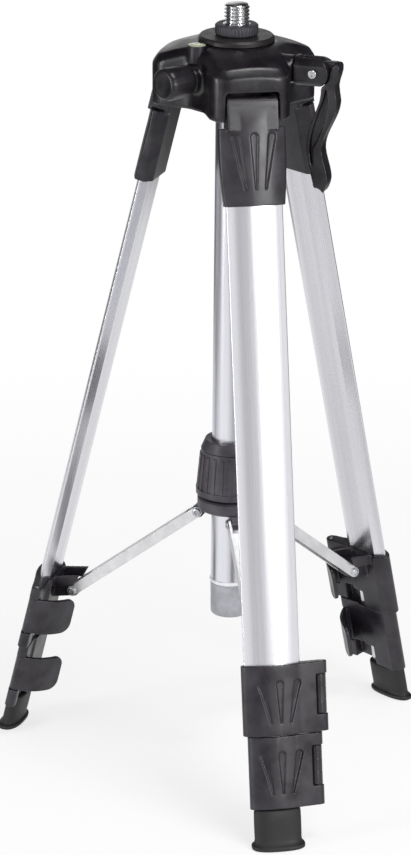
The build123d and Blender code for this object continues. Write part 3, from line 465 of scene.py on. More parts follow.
def moulded_rubber(name, colour):
    # Moulded natural rubber: deep matt black with a dry bloom of dust in patches and a coarse tool grain
    material, tree, shader, place = new_material(name)
    grain = add_node(tree, "TexNoise", {"Scale": per_metre(1.2), "Detail": 3.0}, {"Vector": place})
    bloom = add_node(tree, "TexNoise", {"Scale": per_metre(14), "Detail": 4.0}, {"Vector": place})
    rounded = add_node(tree, "Bevel", {"Radius": 0.8 * MM}, samples=4)
    dust = add_node(tree, "MapRange", {"From Min": 0.45, "From Max": 0.75, "To Min": 0.0, "To Max": 0.12},
                    {"Value": bloom})
    body = add_node(tree, "Mix", {"A": (*colour, 1), "B": (*linear("#4A4A4A"), 1)}, {"Factor": dust},
                    data_type="RGBA")
    dress(tree, shader, body, bloom, 0.5, 0.68, grain, 0.2, 0.1, rounded, (0.3, 0.7))
    return material


def vial_liquid(name, colour, bending):
    # Tinted mineral spirit under a cast acrylic lens: clear, slightly green, with a sharp bright surface;
    # faint streaks keep it from being perfectly clean
    material, tree, shader, place = new_material(
        name, {"Base Color": (*colour, 1), "Transmission Weight": 0.7, "IOR": bending})
    streaks = add_node(tree, "TexNoise", {"Scale": per_metre(3), "Detail": 2.0}, {"Vector": place})
    shine = add_node(tree, "MapRange", {"From Min": 0.3, "From Max": 0.7, "To Min": 0.03, "To Max": 0.1},
                     {"Value": streaks})
    wire(tree, shader, {"Roughness": shine})
    return material


FINISHES = {}


def finish(name):
    """Finish by name, made once."""
    if name not in FINISHES:
        maker, *values = finish_table()[name]
        FINISHES[name] = maker(*values)
    return FINISHES[name]


def finish_table():
    """Maker of each finish and what it takes: the material's name, colours, roughness and grain."""
    tone = bpy.context.scene.tripod_colours
    edge = tone.worn_edge
    table = {
        "abs": (moulded_plastic, "abs_moulded_satin", tone.fitting, edge, 0.36),
        "abs_head": (moulded_plastic, "abs_moulded_head", tone.plastic, edge, 0.3, 1.5),
        "abs_grip": (moulded_plastic, "abs_moulded_fine", tone.plastic, edge, 0.36),
        "abs_lever": (moulded_plastic, "abs_moulded_lever", tone.fitting, edge, 0.32),
        "abs_hub": (moulded_plastic, "abs_moulded_hub", tone.hub, edge, 0.42),
        "polypropylene": (moulded_plastic, "polypropylene_moulded", tone.grey_plastic, linear("#D0D0D2"),
                          0.5),
        # The cap's lip: the cap's grey polypropylene drawn near white, a painted highlight along its rim
        "lip": (moulded_plastic, "polypropylene_moulded_lip", linear("#E4E5E8"), linear("#F2F2F2"), 0.4),
        "nylon": (moulded_plastic, "nylon_moulded", linear("#DAD9D2"), linear("#F0F0EC"), 0.45),
        "column": (drawn_aluminium, "aluminium_drawn_column", tone.column, (0, 0, 0), 0.3),
        "strut": (plated_metal, "aluminium_pressed", tone.strut, 0.4, 0.7, 0.05),
        "steel": (plated_metal, "steel_zinc_plated", tone.steel, 0.33, 0.5, 0.04),
        "chrome": (plated_metal, "steel_chromed", tone.chrome, 0.13, 1.5, 0.01),
        "turned": (turned_dark_metal, "steel_turned_blackened", tone.dark_metal, 0.34),
        "ring": (turned_dark_metal, "zinc_cast_blackened", tone.ring, 0.45),
        "rubber": (moulded_rubber, "rubber_moulded", tone.rubber),
        "liquid": (vial_liquid, "spirit_under_acrylic", tone.liquid, 1.47),
        "air": (vial_liquid, "air_bubble", linear("#F4F6EE"), 1.1),
    }
    for leg in LEGS:
        table[f"{leg}_tube"] = (drawn_aluminium, f"aluminium_drawn_{leg}_leg", tone.tube,
                                leg_frame(leg).to_euler("XYZ"), 0.27)
    return table


class TRIPOD_OT_head(Operator):
    """Finish the moulded head, its hinge pins and the brake pad."""

    bl_idname = "tripod.head"
    bl_label = "Head"

    def execute(self, context):
        place_skin(softened([node_object("head").data], *HEAD_SKIN), "head", "head", "abs_head")
        finish_nodes(["leg_hinge_pins"], "steel")
        finish_nodes(["brake_pad"], "nylon")
        return {"FINISHED"}


class TRIPOD_OT_column(Operator):
    """Finish the guide tube, its cap and the sliding column."""

    bl_idname = "tripod.column"
    bl_label = "Column"

    # Cup in millimetres: how far it lies inside the lip, its taper, the rounding of its foot, the step at the
    # lip's seam, and the radius of the flat in the middle of its foot
    CUP = mm(0.7, 0.3, 2, 0.4, 2)
    # Turns, in radians, of the points round the cup's foot and round the lip
    FOOT_TURNS = (0, 0.3, 0.6, 0.9, 1.2, pi / 2)
    LIP_TURNS = (-1.57, -1.2, -0.8, -0.4, 0, 0.4, 0.8, 1.2, 1.57)

    def execute(self, context):
        finish_nodes(["guide_tube", "elevator_column"], "column")
        finish_nodes(["platform"], "turned")
        self.end_cap()
        return {"FINISHED"}

    def end_cap(self):
        """Cup over the guide tube's end, with a rolled lip whose near-white colour is a painted highlight."""
        place, lip, bottom, top = upright("guide_end_cap")
        wall = upright("guide_tube")[1]
        seam = top - sizes().cap_lip
        inset, taper, edge, step, middle = self.CUP
        cup_radius = lip - inset
        foot_radius = cup_radius - taper
        cup = [(middle, bottom)]
        cup += [(foot_radius - edge * (1 - sin(turn)), bottom + edge * (1 - cos(turn)))
                for turn in self.FOOT_TURNS]
        cup += [(cup_radius, seam - step), (cup_radius - step, seam), (wall, seam)]
        turn_piece("end_cap_cup", cup, place, "head", "polypropylene", 40, "guide_end_cap")
        centre, half = (seam + top) / 2, (top - seam) / 2
        rim = [(wall, seam)]
        rim += [(lip - half + half * cos(turn), centre + half * sin(turn)) for turn in self.LIP_TURNS]
        rim.append((wall, top))
        # The lip takes the near-white finish, a painted highlight on the cap's rim
        turn_piece("end_cap_lip", rim, place, "head", "lip", 60, close=hollow)


class TRIPOD_OT_stud(Operator):
    """Cut the stud's thread and knurl the lock ring."""

    bl_idname = "tripod.stud"
    bl_label = "Stud and lock ring"

    # Thread: share of half a pitch that the crest's flat and the flank take, and rows of points in a pitch
    CREST, FLANK, ROWS = 0.12, 0.72, 10
    # Millimetres that the neck stays clear of the seat and of the ring's bore, the ring's bevel, and how near
    # to its rim a point counts as on it
    RELIEF, BEVEL, NEAR = mm(0.1, 0.8, 0.01)
    # Upper and lower edge of the ring in bevels: in from its rim, and down from its top or up from its foot
    TOP_EDGE = ((2.2, 0), (1.2, 0.2), (0.4, 0.9), (0, 1.2))
    FOOT_EDGE = ((0, 1.2), (0.4, 0.6), (1, 0))
    TOOTH_SEGMENTS = 4

    def execute(self, context):
        neck = self.stud()
        self.ring(neck + self.RELIEF)
        return {"FINISHED"}

    def stud(self):
        """Threaded stud; gives the radius of its neck."""
        size = sizes()
        place, neck, bottom, top = upright("mounting_stud")
        radius = size.stud_diameter / 2

        def crest(base, height, angle, row):
            if height < size.thread_start:
                return base
            phase = (height / size.thread_pitch - angle / tau) % 1
            slope = min(abs(phase - 0.5) * 2, 1)
            cut = min(max((slope - self.CREST) / self.FLANK, 0), 1)
            return min(base, radius - size.thread_depth * cut)

        count = int(top / size.thread_pitch * self.ROWS)
        profile = [(neck, bottom), (neck, -self.RELIEF), (radius - size.thread_depth, 0)]
        for row in range(1, count + 1):
            height = top * row / count
            profile.append((min(radius, radius - size.stud_lead + top - height), height))
        turn_piece("threaded_stud", profile, place, "column", "chrome", 50, "mounting_stud",
                   radius_at=crest)
        return neck

    def ring(self, bore):
        """Knurled lock ring."""
        size = sizes()
        outer, bottom, top = upright("lock_ring")[1:]
        teeth = round(tau * outer / size.knurl_pitch)
        bevel, rim = self.BEVEL, outer - self.NEAR

        def tooth(base, height, angle, row):
            if base < rim or abs(height - (bottom + top) / 2) > (top - bottom) / 2 - bevel:
                return base
            wave = abs((angle / tau * teeth) % 1 - 0.5) * 2
            return base - size.knurl_depth * wave

        profile = [(bore, top)]
        profile += [(outer - inset * bevel, top - drop * bevel) for inset, drop in self.TOP_EDGE]
        profile += [(outer - inset * bevel, bottom + rise * bevel) for inset, rise in self.FOOT_EDGE]
        profile.append((bore, bottom))
        turn_piece("knurled_lock_ring", profile, Matrix.Identity(4), "lock_ring", "ring", 50,
                   "lock_ring", teeth * self.TOOTH_SEGMENTS, tooth, hollow)


class TRIPOD_OT_spirit_level(Operator):
    """Build the round spirit level: dial, bubble and liquid under the lens."""

    bl_idname = "tripod.spirit_level"
    bl_label = "Spirit level"

    # In millimetres: the lens's play, how far its brim lies inside the housing, its rim and its crown
    LENS = mm(0.05, 0.4, 0.15, 0.5)
    # The dial's height over the vial's foot, its thickness and the gap under the lens
    DIAL = mm(0.4, 0.3, 0.3)
    # The target's share of the dial's radius, and the width and height of its line
    TARGET, LINE = 0.55, mm(0.44, 0.12)
    # Half the bubble's height and how deep it lies under the lens
    BUBBLE = mm(0.5, 0.9)
    # Turns, in radians, of the points over the lens and round the bubble
    LENS_TURNS = (0, 0.25, 0.55, 0.85, 1.15, 1.4)
    BUBBLE_TURNS = (-1.4, -1.0, -0.6, -0.2, 0.2, 0.6, 1.0, 1.4)
    # Where the bubble stands off the dial's centre
    BUBBLE_OFF = mm(0.4, -0.3, 0)
    BUBBLE_SEGMENTS = 40

    def execute(self, context):
        finish_nodes(["bubble_housing"], "abs")
        place, vial_radius, bottom, top = upright("bubble_vial")
        housing_radius, _, housing_top = upright("bubble_housing")[1:]
        play, inset, rim, crown = self.LENS
        rise, thickness, gap = self.DIAL
        radius = vial_radius - play
        floor = bottom + rise
        brim, lap = housing_radius - inset, housing_top + play
        lens = [(radius, floor + gap), (radius, lap), (brim, lap)]
        lens += [(brim * cos(turn), lap + rim + crown * sin(turn)) for turn in self.LENS_TURNS]
        turn_piece("vial_lens", lens, place, "head", "liquid", 60, "bubble_vial")
        dial = [(radius, floor - thickness), (radius, floor)]
        turn_piece("vial_dial", dial, place, "head", "nylon")
        line, half, raised = radius * self.TARGET, self.LINE[0] / 2, floor + self.LINE[1]
        target = [(line - half, floor), (line - half, raised), (line + half, raised), (line + half, floor)]
        turn_piece("vial_target", target, place, "head", "abs", close=hollow)
        tall, depth = self.BUBBLE
        centre = top - crown - depth
        bubble = [(sizes().bubble * cos(turn), centre + tall * sin(turn)) for turn in self.BUBBLE_TURNS]
        turn_piece("vial_bubble", bubble, place @ Matrix.Translation(self.BUBBLE_OFF), "head",
                   "air", 60, segments=self.BUBBLE_SEGMENTS)
        return {"FINISHED"}


class TRIPOD_OT_crank(Operator):
    """Finish the crank and build its socket screw."""

    bl_idname = "tripod.crank"
    bl_label = "Crank"

    # Screw in millimetres: shank's radius, height of the head's underside, chamfer and depth of the socket
    SCREW = mm(1.75, 8.6, 0.35, 1.1)
    SEGMENTS = 48
    FLATS = 6

    def execute(self, context):
        for node, body in (("crank_boss", "crank"), ("crank_arm", "crank_arm")):
            place_skin(softened([node_object(node).data], *CRANK_SKIN), node, body, "abs_grip")
        finish_nodes(["crank_shaft", "pinion"], "steel")
        place = joint_frame("crank_arm_fold")
        low, high = local_box("crank_screw", place)
        head, top = high.x, high.z
        shank, under, chamfer, deep = self.SCREW
        corner = sizes().socket / 2 / cos(pi / self.FLATS)

        def screw(shape):
            profile = [(shank, low.z), (shank, under), (head, under), (head, top - chamfer),
                       (head - chamfer, top)]
            rings = turned(shape, profile, self.SEGMENTS)
            join_rings(shape, rings)
            shape.faces.new(rings[0])
            rim, foot = turned(shape, [(corner, top), (corner, top - deep)], self.FLATS)
            join_rings(shape, [rim, foot])
            shape.faces.new(foot)
            share = self.SEGMENTS // self.FLATS
            for side in range(self.FLATS):
                edge = [rings[-1][(side * share + step) % self.SEGMENTS] for step in range(share + 1)]
                shape.faces.new(edge + [rim[(side + 1) % self.FLATS], rim[side]])

        make_piece("crank_socket_screw", screw, place, "crank", "steel", node="crank_screw")
        return {"FINISHED"}


class TRIPOD_OT_clamp(Operator):
    """Build the column clamp's knob and finish its screw."""

    bl_idname = "tripod.clamp"
    bl_label = "Column clamp"

    # Profile of the grip: share of its radius, and millimetres from its near end and from its far end
    NEAR = ((0.6, 0), (0.82, 0), (0.88, 0.8), (0.9, 1.6), (0.93, 5.0))
    FAR = ((0.97, 4.2), (0.95, 2.6), (0.89, 1.2), (0.8, 0.4), (0.7, 0.1), (0.62, 0.35), (0.2, 0.5))
    # Flutes: how many, their depth in millimetres, and the first and last row of points that they shape
    FLUTES, FLUTE_DEPTH, FLUTE_ROWS = 16, 0.15 * MM, (3, 6)
    SEGMENTS = 120

    def execute(self, context):
        finish_nodes(["lock_screw"], "steel")
        place = joint_frame("column_clamp_turn")
        low, high = local_box("lock_knob", place)
        inner, outer = sorted((low.z, high.z), key=lambda end: (place @ Vector((0, 0, end))).xy.length)
        way = MM if outer > inner else -MM
        radius = high.x
        profile = [(share * radius, inner + way * rise) for share, rise in self.NEAR]
        profile += [(share * radius, outer - way * rise) for share, rise in self.FAR]

        def lobe(base, height, angle, row):
            if not self.FLUTE_ROWS[0] <= row <= self.FLUTE_ROWS[1]:
                return base
            return base - self.FLUTE_DEPTH * (0.5 + 0.5 * cos(self.FLUTES * angle))

        turn_piece("lock_knob_grip", profile, place, "lock_knob", "abs_grip", 50,
                   "lock_knob", self.SEGMENTS, lobe)
        return {"FINISHED"}


class TRIPOD_OT_spreader(Operator):
    """Finish the hub and struts and set their rivets."""

    bl_idname = "tripod.spreader"
    bl_label = "Spreader"

    # Rivet head with a rolled centre: share of its radius and of its rise
    DOME = ((1, 0), (1, 0.35), (0.93, 0.62), (0.78, 0.86), (0.58, 1), (0.42, 0.96), (0.34, 0.7), (0.3, 0.35))
    SEGMENTS = 32
    # Radius of the hub's rivets
    SHANK = 1.2 * MM
    # How much higher the heads at the struts' outer ends stand
    OUTER_RISE = 1.3

    def execute(self, context):
        size = sizes()
        finish_nodes(["hub", "hub_lock_ring"], "abs_hub")
        finish_nodes(leg_nodes("strut"), "strut")
        finish_nodes(leg_nodes("strut_rivet"), "steel")
        hub_places = [joint_frame(f"{leg}_strut_swing") for leg in LEGS]
        for leg, place in zip(LEGS, hub_places):
            face = local_box(f"{leg}_strut", place)[1].z - size.rivet_rise
            low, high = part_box(f"{leg}_strut_rivet")
            end = joint_frame(f"{leg}_strut_swing", (low + high) / 2)

            def outer_heads(shape):
                self.heads(shape, face, self.OUTER_RISE * size.rivet_rise)

            make_piece(f"{leg}_strut_heads", outer_heads, end, f"{leg}_strut", "steel", 40)
        hub_face = face + size.rivet_gap
        shank = [(self.SHANK, -hub_face), (self.SHANK, hub_face)]

        def hub_heads(shape):
            for place in hub_places:
                self.heads(shape, hub_face, size.rivet_rise, place)
                solid(shape, turned(shape, shank, self.SEGMENTS, place=place))

        make_piece("hub_rivet_heads", hub_heads, Matrix.Identity(4), "hub", "steel", 40,
                   "hub_rivets")
        return {"FINISHED"}

    def heads(self, shape, face, rise, place=Matrix.Identity(4)):
        """Two rivet heads, on faces at a distance to each side along Z."""
        radius = sizes().rivet_head
        for side in (-1, 1):
            profile = [(radius * reach, side * (face + rise * lift)) for reach, lift in self.DOME]
            solid(shape, turned(shape, profile, self.SEGMENTS, place=place))


class TRIPOD_OT_leg_tubes(Operator):
    """Finish the telescopic tubes of the three legs."""

    bl_idname = "tripod.leg_tubes"
    bl_label = "Leg tubes"

    def execute(self, context):
        for leg in LEGS:
            finish_nodes([f"{leg}_{part}_tube" for part in ("upper", "middle", "lower")], f"{leg}_tube")
        return {"FINISHED"}


class TRIPOD_OT_fittings(Operator):
    """Finish the leg-top fittings, clamp collars and hinge pins of the levers."""

    bl_idname = "tripod.fittings"
    bl_label = "Fittings and collars"

    # Tongue's face in millimetres: half its width, its front, its back and least thickness, and the heights
    # of its top, of the start of its run into the shield and of its foot
    HALF, FACE, BACK, THIN = mm(16, -7.1, -4, 0.5)
    TOP, START, FOOT = mm(2.5, -1.5, -16.2)
    COLUMNS, ROWS = 24, 18

    def execute(self, context):
        top = node_object("front_leg_top").data
        skin_legs("leg_top", [top, self.tongue_face()], "leg", LEG_TOP_SKIN)
        for ending, body in (("upper_collar", "leg"), ("lower_collar", "middle")):
            skin_legs(ending, [node_object(f"front_{ending}").data], body, COLLAR_SKIN)
        finish_nodes(leg_nodes("upper_lever_pin", "lower_lever_pin"), "steel")
        return {"FINISHED"}

    def tongue_face(self):
        """Closed shape on the front tongue that runs its face out into the shield's bow."""
        place = leg_frame("front")
        tube_low, tube_high = local_box("front_upper_tube", place)
        shield_front = local_box("front_leg_top", place)[0].y
        crown, tip = -tube_low.y, tube_high.x
        bow = (tip ** 2 + crown ** 2) / (2 * crown) - crown - shield_front
        shape = bmesh.new()
        sheets = []
        for front in (True, False):
            sheet = []
            for row in range(self.ROWS + 1):
                height = self.TOP + (self.FOOT - self.TOP) * row / self.ROWS
                share = min(max((self.START - height) / (self.START - self.FOOT), 0), 1)
                share = share * share * (3 - 2 * share)
                line = []
                for column in range(self.COLUMNS + 1):
                    across = self.HALF * (2 * column / self.COLUMNS - 1)
                    shield = shield_front + bow - sqrt(bow ** 2 - across ** 2)
                    depth = self.BACK
                    if front:
                        depth = min(self.FACE + (shield - self.FACE) * share, depth - self.THIN)
                    line.append(shape.verts.new((across, depth, height)))
                sheet.append(line)
            sheets.append(sheet)
        slab(shape, *sheets)
        bmesh.ops.recalc_face_normals(shape, faces=shape.faces)
        mesh = bpy.data.meshes.new("tongue_face")
        shape.to_mesh(mesh)
        shape.free()
        mesh.transform(place)
        return mesh


def smooth_path(points, steps):
    """Points of a curve through given points, evenly eased between them."""
    padded = [2 * points[0] - points[1], *points, 2 * points[-1] - points[-2]]
    path = []
    for index in range(1, len(padded) - 2):
        before, start, end, after = padded[index - 1:index + 3]
        for step in range(steps):
            t = step / steps
            path.append(0.5 * (2 * start + (end - before) * t
                               + (2 * before - 5 * start + 4 * end - after) * t * t
                               + (3 * start - before - 3 * end + after) * t ** 3))
    path.append(points[-1])
    return path


class TRIPOD_OT_levers(Operator):
    """Build the flip levers: a barrel on the hinge and a swept plate with a rounded free end."""

    bl_idname = "tripod.levers"
    bl_label = "Flip levers"

    # Middle of the plate from the hinge, in millimetres across and inwards
    PLAN = ((1.1, 0.9), (-2.2, 6.6), (-6.4, 11.9), (-12.4, 16.5), (-17.8, 19.4), (-21.6, 21.5))
    PLAN_STEPS, ROWS = 6, 6
    # Barrel in millimetres: its radius, the cam's distance off the hinge and radius, and its edges' rounding
    BARREL, CAM_OFF, CAM, ROUND = mm(2.7, 1.2, 3.5, 0.4)
    # Where the barrel's knuckles meet, by share of its height
    KNUCKLES = (0.34, 0.68)
    SEGMENTS = 48
    EDGE = 0.7 * MM

    def execute(self, context):
        for leg in LEGS:
            for part in ("upper", "lower"):
                self.build(leg, part)
        return {"FINISHED"}

    def build(self, leg, part):
        name = f"{leg}_{part}_lever"
        place = leg_frame(leg)
        hinge = place.inverted() @ Vector(JOINTS[f"{name}_flip"]["pos_m"])
        low, high = local_box(name, place)

        def lever(shape):
            self.plate(shape, hinge, low.z, high.z)
            self.barrel(shape, hinge, low.z, high.z)

        piece = make_piece(f"{name}_plate", lever, place, name, "abs_lever", node=name)
        bevel = piece.modifiers.new("rounded edges", "BEVEL")
        bevel.width = self.EDGE
        bevel.segments = 3
        bevel.angle_limit = radians(50)
        bevel.harden_normals = True

    def plate(self, shape, hinge, bottom, top):
        """Plate swept along the plan, with a rounded free end."""
        size = sizes()
        corner = size.lever_corner
        middle, tall = (bottom + top) / 2, (top - bottom) / 2
        path = smooth_path([Vector((x * MM, y * MM)) + hinge.xy for x, y in self.PLAN], self.PLAN_STEPS)
        lengths = [0.0]
        for start, end in zip(path, path[1:]):
            lengths.append(lengths[-1] + (end - start).length)
        sheets = []
        for side in (-1, 1):
            sheet = []
            for index, point in enumerate(path):
                before, after = path[max(index - 1, 0)], path[min(index + 1, len(path) - 1)]
                run = (after - before).normalized()
                spot = point + Vector((run.y, -run.x)) * (size.lever_thickness / 2 * side)
                past = max(lengths[index] - (lengths[-1] - corner), 0)
                reach = tall - corner + sqrt(max(corner ** 2 - past ** 2, 0))
                sheet.append([shape.verts.new((*spot, middle + reach * (2 * row / self.ROWS - 1)))
                              for row in range(self.ROWS + 1)])
            sheets.append(sheet)
        slab(shape, *sheets)

    def barrel(self, shape, hinge, bottom, top):
        """Barrel with its cam, drawn in where its knuckles meet."""
        edge = self.ROUND
        levels = [(bottom, edge), (bottom + edge, 0)]
        for share in self.KNUCKLES:
            joint = bottom + (top - bottom) * share
            levels += [(joint - edge, 0), (joint, edge), (joint + edge, 0)]
        levels += [(top - edge, 0), (top, edge)]
        solid(shape, [[shape.verts.new((*(hinge.xy + self.cam_point(step, inset)), height))
                       for step in range(self.SEGMENTS)] for height, inset in levels])

    def cam_point(self, step, inset):
        """Point of the barrel's outline with its cam, drawn in by an amount."""
        angle = tau * step / self.SEGMENTS
        on_cam = self.CAM - self.CAM_OFF * cos(angle) > self.BARREL
        reach = (self.CAM if on_cam else self.BARREL) - inset
        return Vector((reach * cos(angle) - (self.CAM_OFF if on_cam else 0), reach * sin(angle)))


class TRIPOD_OT_feet(Operator):
    """Build the rubber boots: an oval barrel with a flared sole that stands level."""

    bl_idname = "tripod.feet"
    bl_label = "Feet"

    # Rings of the sole in millimetres: height over the ground, and how far in from the sole's full size
    SOLE = ((0, 0.8), (0.4, 0.2), (0.9, 0), (2.2, 0), (2.8, 0.3), (3.1, 1.0), (3.6, 1.6))
    # Rings of the barrel: share of the way up, and how far in from the barrel's full size
    BARREL = ((0.12, 0.1), (0.35, 0), (0.65, 0), (0.93, 0.1), (0.98, 0.4), (1, 1.0))
    # Half of the sole inwards, how far the sole flares across and inwards, the power of the oval's outline,
    # and how soon the barrel's rings turn square to the leg
    DEEP, FLARE, OVAL, SQUARE_UP = 7.6 * MM, mm(2.0, 1.8), 2.5, 1.6

    def execute(self, context):
        for leg in LEGS:
            place = leg_frame(leg)
            low, high = local_box(f"{leg}_foot", place)
            wide, deep = (high.x - low.x) / 2, self.DEEP
            level = place.to_3x3().transposed() @ Vector((0, 0, 1))
            slope = level.y / level.z
            ground = (CAD_BOX[0][2] - place.translation.z) / level.z
            foot = ground + self.SOLE[-1][0] * MM
            across, inward = wide - self.FLARE[0], deep - self.FLARE[1]

            def boot(shape):
                rings = [self.oval(shape, wide - inset * MM, deep - inset * MM,
                                   ground + rise * MM / level.z, slope) for rise, inset in self.SOLE]
                rings += [self.oval(shape, across - inset * MM, inward - inset * MM,
                                    foot + (high.z - foot) * share,
                                    slope * max(1 - self.SQUARE_UP * share, 0))
                          for share, inset in self.BARREL]
                solid(shape, rings)

            make_piece(f"{leg}_boot", boot, place, f"{leg}_lower", "rubber", 50, f"{leg}_foot")
        return {"FINISHED"}

    def oval(self, shape, across, inward, height, slope):
        """Oval ring of points at a height, tilted by a slope."""
        segments = sizes().ring_segments
        ring = []
        for step in range(segments):
            angle = tau * step / segments
            x, y = (size * abs(part) ** (2 / self.OVAL) * (1 if part > 0 else -1)
                    for size, part in ((across, cos(angle)), (inward, sin(angle))))
            ring.append(shape.verts.new((x, y, height - slope * y)))
        return ring


# Camera of the photograph, worked out from the feet, the leg lines and the platform: pixels, millimetres
# from the column's axis and over the ground, and degrees
CAMERA = {"focal_px": 3905.35, "away": 2369.77, "height": 1041.48, "pitch": 18.996, "roll": 0.585,
          "pan": -0.406, "turn": 12.4}
IMAGE_HEIGHT = 855
SENSOR = 36
FLOOR_RADIUS = 0.95
FLOOR_GAP = 0.2 * MM


class TRIPOD_OT_stage(Operator):
    """Set the floor, the light and the camera."""

    bl_idname = "tripod.stage"
    bl_label = "Stage"

    # Softboxes, a tall one at the left, one at the camera's right and one above and in front: name, place and
    # sides in metres, watts
    LAMPS = (
        ("left_softbox", (-1.8, -0.5, 0.05), 0.3, 1.1, 13),
        ("right_softbox", (0.85, -1.72, 0.3), 0.75, 0.42, 18),
        ("top_softbox", (0.35, -0.62, 1.5), 0.8, 0.28, 13),
    )
    LAMP_AIM = (0, 0, -0.15)
    # Shares of the floor's radius between which it fades into the room
    FADE = (0.3, 0.95)
    # Strength of the room on matt surfaces
    ROOM_LIGHT = 0.5
    # Brightness of the room in reflections, by the angle round it from the camera in degrees
    ROOM = ((-180, 1.0), (-165, 0.9), (-140, 0.12), (-58, 0.12), (-47, 1.4), (-24, 1.4), (-13, 0.62),
            (10, 0.62), (20, 0.98), (82, 0.98), (92, 0.1), (168, 0.1), (180, 1.0))
    # Ceiling and floor of that room: angles over the level in degrees, and the factor at each
    CEILING = (14, 42, 1.0, 0.16)
    BELOW = (-14, -4, 0.45, 1.0)

    def execute(self, context):
        scene = context.scene
        scene.view_settings.view_transform = "Standard"
        ground = CAD_BOX[0][2]
        self.floor(ground)
        self.world(scene)
        self.lamps()
        self.camera(scene, ground)
        return {"FINISHED"}

    def floor(self, ground):
        # Matt white painted board: pale, even, keeps a soft shadow, and fades into the white room
        material, tree, shader, place = new_material(
            "board_painted_white", {"Base Color": (*linear("#F6F6F6"), 1), "Specular IOR Level": 0.1})
        mottle = add_node(tree, "TexNoise", {"Scale": per_metre(60)}, {"Vector": place})
        shine = add_node(tree, "MapRange", {"To Min": 0.85, "To Max": 0.95}, {"Value": mottle})
        wire(tree, shader, {"Roughness": shine})
        glow = add_node(tree, "Emission", {"Strength": 1.0})
        reach = add_node(tree, "VectorMath", links={0: place}, operation="LENGTH")
        fade = add_node(tree, "MapRange",
                        {"From Min": self.FADE[0] * FLOOR_RADIUS, "From Max": self.FADE[1] * FLOOR_RADIUS,
                         "To Min": 0.72, "To Max": 1.0}, {"Value": reach}, interpolation_type="SMOOTHSTEP")
        # Rays from the camera, and those that a mirror or glass passes on, see the board's white
        ray = add_node(tree, "LightPath")
        direct = add_node(tree, "Math", operation="MAXIMUM",
                          links={0: ray.outputs["Is Camera Ray"], 1: ray.outputs["Is Glossy Ray"]})
        either = add_node(tree, "Math", operation="MAXIMUM",
                          links={0: direct, 1: ray.outputs["Is Transmission Ray"]})
        seen = add_node(tree, "Math", operation="MULTIPLY", links={0: either, 1: fade})
        both = add_node(tree, "MixShader", links={0: seen, 1: shader, 2: glow})
        output = next(made for made in tree.nodes if made.type == "OUTPUT_MATERIAL")
        wire(tree, output, {"Surface": both})
        mesh = bpy.data.meshes.new("floor")
        shape = bmesh.new()
        bmesh.ops.create_circle(shape, cap_ends=True, segments=96, radius=FLOOR_RADIUS)
        shape.to_mesh(mesh)
        shape.free()
        mesh.materials.append(material)
        board = add_object("floor", mesh)
        board.location.z = ground - FLOOR_GAP

    def world(self, scene):
        world = bpy.data.worlds.new("studio")
        scene.world = world
        world.use_nodes = True
        tree = world.node_tree
        tree.nodes.clear()
        ray = add_node(tree, "LightPath")
        shown = add_node(tree, "Math", operation="MAXIMUM",
                         links={0: ray.outputs["Is Camera Ray"], 1: ray.outputs["Is Transmission Ray"]})
        # Reflections see a white room: dimmer round the camera, dark flags at both sides that draw the edges
        # of bright metal, a dim ceiling over black plastic and a dimmer floor
        where = add_node(tree, "TexCoord").outputs["Generated"]
        turn = radians(CAMERA["turn"])
        near, beside = (add_node(tree, "VectorMath", {1: way}, {0: where}, operation="DOT_PRODUCT")
                        for way in ((-sin(turn), -cos(turn), 0), (cos(turn), -sin(turn), 0)))
        angle = add_node(tree, "Math", operation="ARCTAN2", links={0: beside, 1: near})
        round_room = add_node(tree, "MapRange", {"From Min": -pi, "From Max": pi}, {"Value": angle})
        sides = add_node(tree, "ValToRGB", links={"Fac": round_room})
        stops = sides.color_ramp.elements
        for stop, (spot, level) in zip(stops, (self.ROOM[0], self.ROOM[-1])):
            stop.color = (level, level, level, 1)
        for spot, level in self.ROOM[1:-1]:
            stops.new((spot + 180) / 360).color = (level, level, level, 1)
        height = add_node(tree, "SeparateXYZ", links={0: where}).outputs["Z"]
        ceiling, below = (
            add_node(tree, "MapRange", {"From Min": sin(radians(low)), "From Max": sin(radians(high)),
                                        "To Min": first, "To Max": last}, {"Value": height})
            for low, high, first, last in (self.CEILING, self.BELOW))
        levels = add_node(tree, "Math", operation="MULTIPLY", links={0: ceiling, 1: below})
        room = add_node(tree, "Math", operation="MULTIPLY", links={0: sides, 1: levels})
        gloss = add_node(tree, "Mix", {"A": self.ROOM_LIGHT},
                         {"Factor": ray.outputs["Is Glossy Ray"], "B": room})
        level = add_node(tree, "Mix", {"B": 1.0}, {"Factor": shown, "A": gloss})
        back = add_node(tree, "Background", {"Color": (1, 1, 1, 1)}, {"Strength": level})
        add_node(tree, "OutputWorld", links={"Surface": back})

    def lamps(self):
        for name, spot, wide, tall, power in self.LAMPS:
            lamp = bpy.data.lights.new(name, "AREA")
            lamp.shape = "RECTANGLE"
            lamp.size = wide
            lamp.size_y = tall
            lamp.energy = power
            holder = add_object(name, lamp)
            holder.location = spot
            aim = Vector(self.LAMP_AIM) - Vector(spot)
            holder.rotation_euler = aim.to_track_quat("-Z", "Y").to_euler()

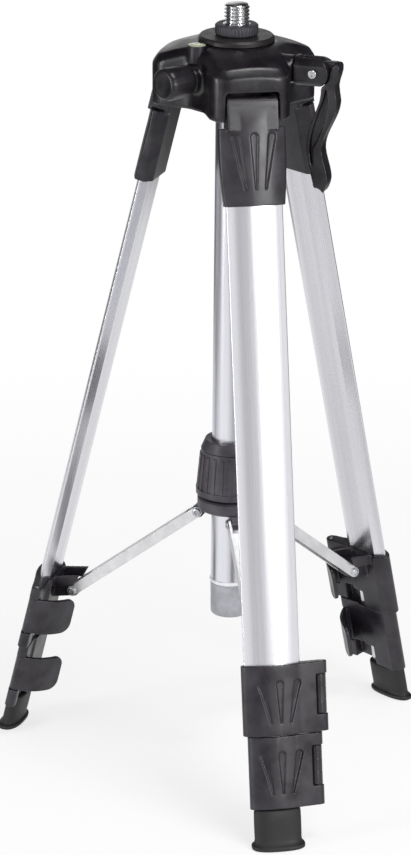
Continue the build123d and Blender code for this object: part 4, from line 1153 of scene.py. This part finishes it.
    def camera(self, scene, ground):
        pitch, pan, roll, round_z = (radians(CAMERA[key]) for key in ("pitch", "pan", "roll", "turn"))
        ahead = Vector((sin(pan) * cos(pitch), cos(pan) * cos(pitch), -sin(pitch)))
        across = Vector((cos(pan), -sin(pan), 0))
        above = across.cross(ahead)
        right = cos(roll) * across + sin(roll) * above
        up = cos(roll) * above - sin(roll) * across
        turn = Matrix.Rotation(-round_z, 3, "Z")
        spot = turn @ Vector((0, *mm(-CAMERA["away"], CAMERA["height"])))
        lens = bpy.data.cameras.new("camera")
        lens.sensor_width = SENSOR
        lens.lens = CAMERA["focal_px"] * SENSOR / IMAGE_HEIGHT
        lens.clip_end = 100
        holder = add_object("camera", lens)
        holder.matrix_world = frame_at(spot + Vector((0, 0, ground)), turn @ right, turn @ up,
                                       -(turn @ ahead))
        scene.camera = holder


BUILD_ORDER = (
    TRIPOD_OT_head, TRIPOD_OT_column, TRIPOD_OT_stud, TRIPOD_OT_spirit_level, TRIPOD_OT_crank,
    TRIPOD_OT_clamp, TRIPOD_OT_spreader, TRIPOD_OT_leg_tubes, TRIPOD_OT_fittings, TRIPOD_OT_levers,
    TRIPOD_OT_feet, TRIPOD_OT_stage,
)


class TRIPOD_PT_panel(Panel):
    """Sizes, colours and pieces of the tripod."""

    bl_idname = "TRIPOD_PT_panel"
    bl_label = "Elevating tripod"
    bl_space_type = "VIEW_3D"
    bl_region_type = "UI"
    bl_category = "Tripod"

    def draw(self, context):
        layout = self.layout
        for group in (context.scene.tripod_sizes, context.scene.tripod_colours):
            box = layout.box()
            for name in group.__annotations__:
                box.prop(group, name)
        for operator in BUILD_ORDER:
            layout.operator(operator.bl_idname)


CLASSES = (TripodColours, TripodSizes, *BUILD_ORDER, TRIPOD_PT_panel)


def register():
    for cls in CLASSES:
        bpy.utils.register_class(cls)
    bpy.types.Scene.tripod_sizes = PointerProperty(type=TripodSizes)
    bpy.types.Scene.tripod_colours = PointerProperty(type=TripodColours)


def unregister():
    del bpy.types.Scene.tripod_colours
    del bpy.types.Scene.tripod_sizes
    for cls in reversed(CLASSES):
        bpy.utils.unregister_class(cls)


def main():
    register()
    for operator in BUILD_ORDER:
        group, name = operator.bl_idname.split(".")
        getattr(getattr(bpy.ops, group), name)()


if __name__ == "__main__":
    main()
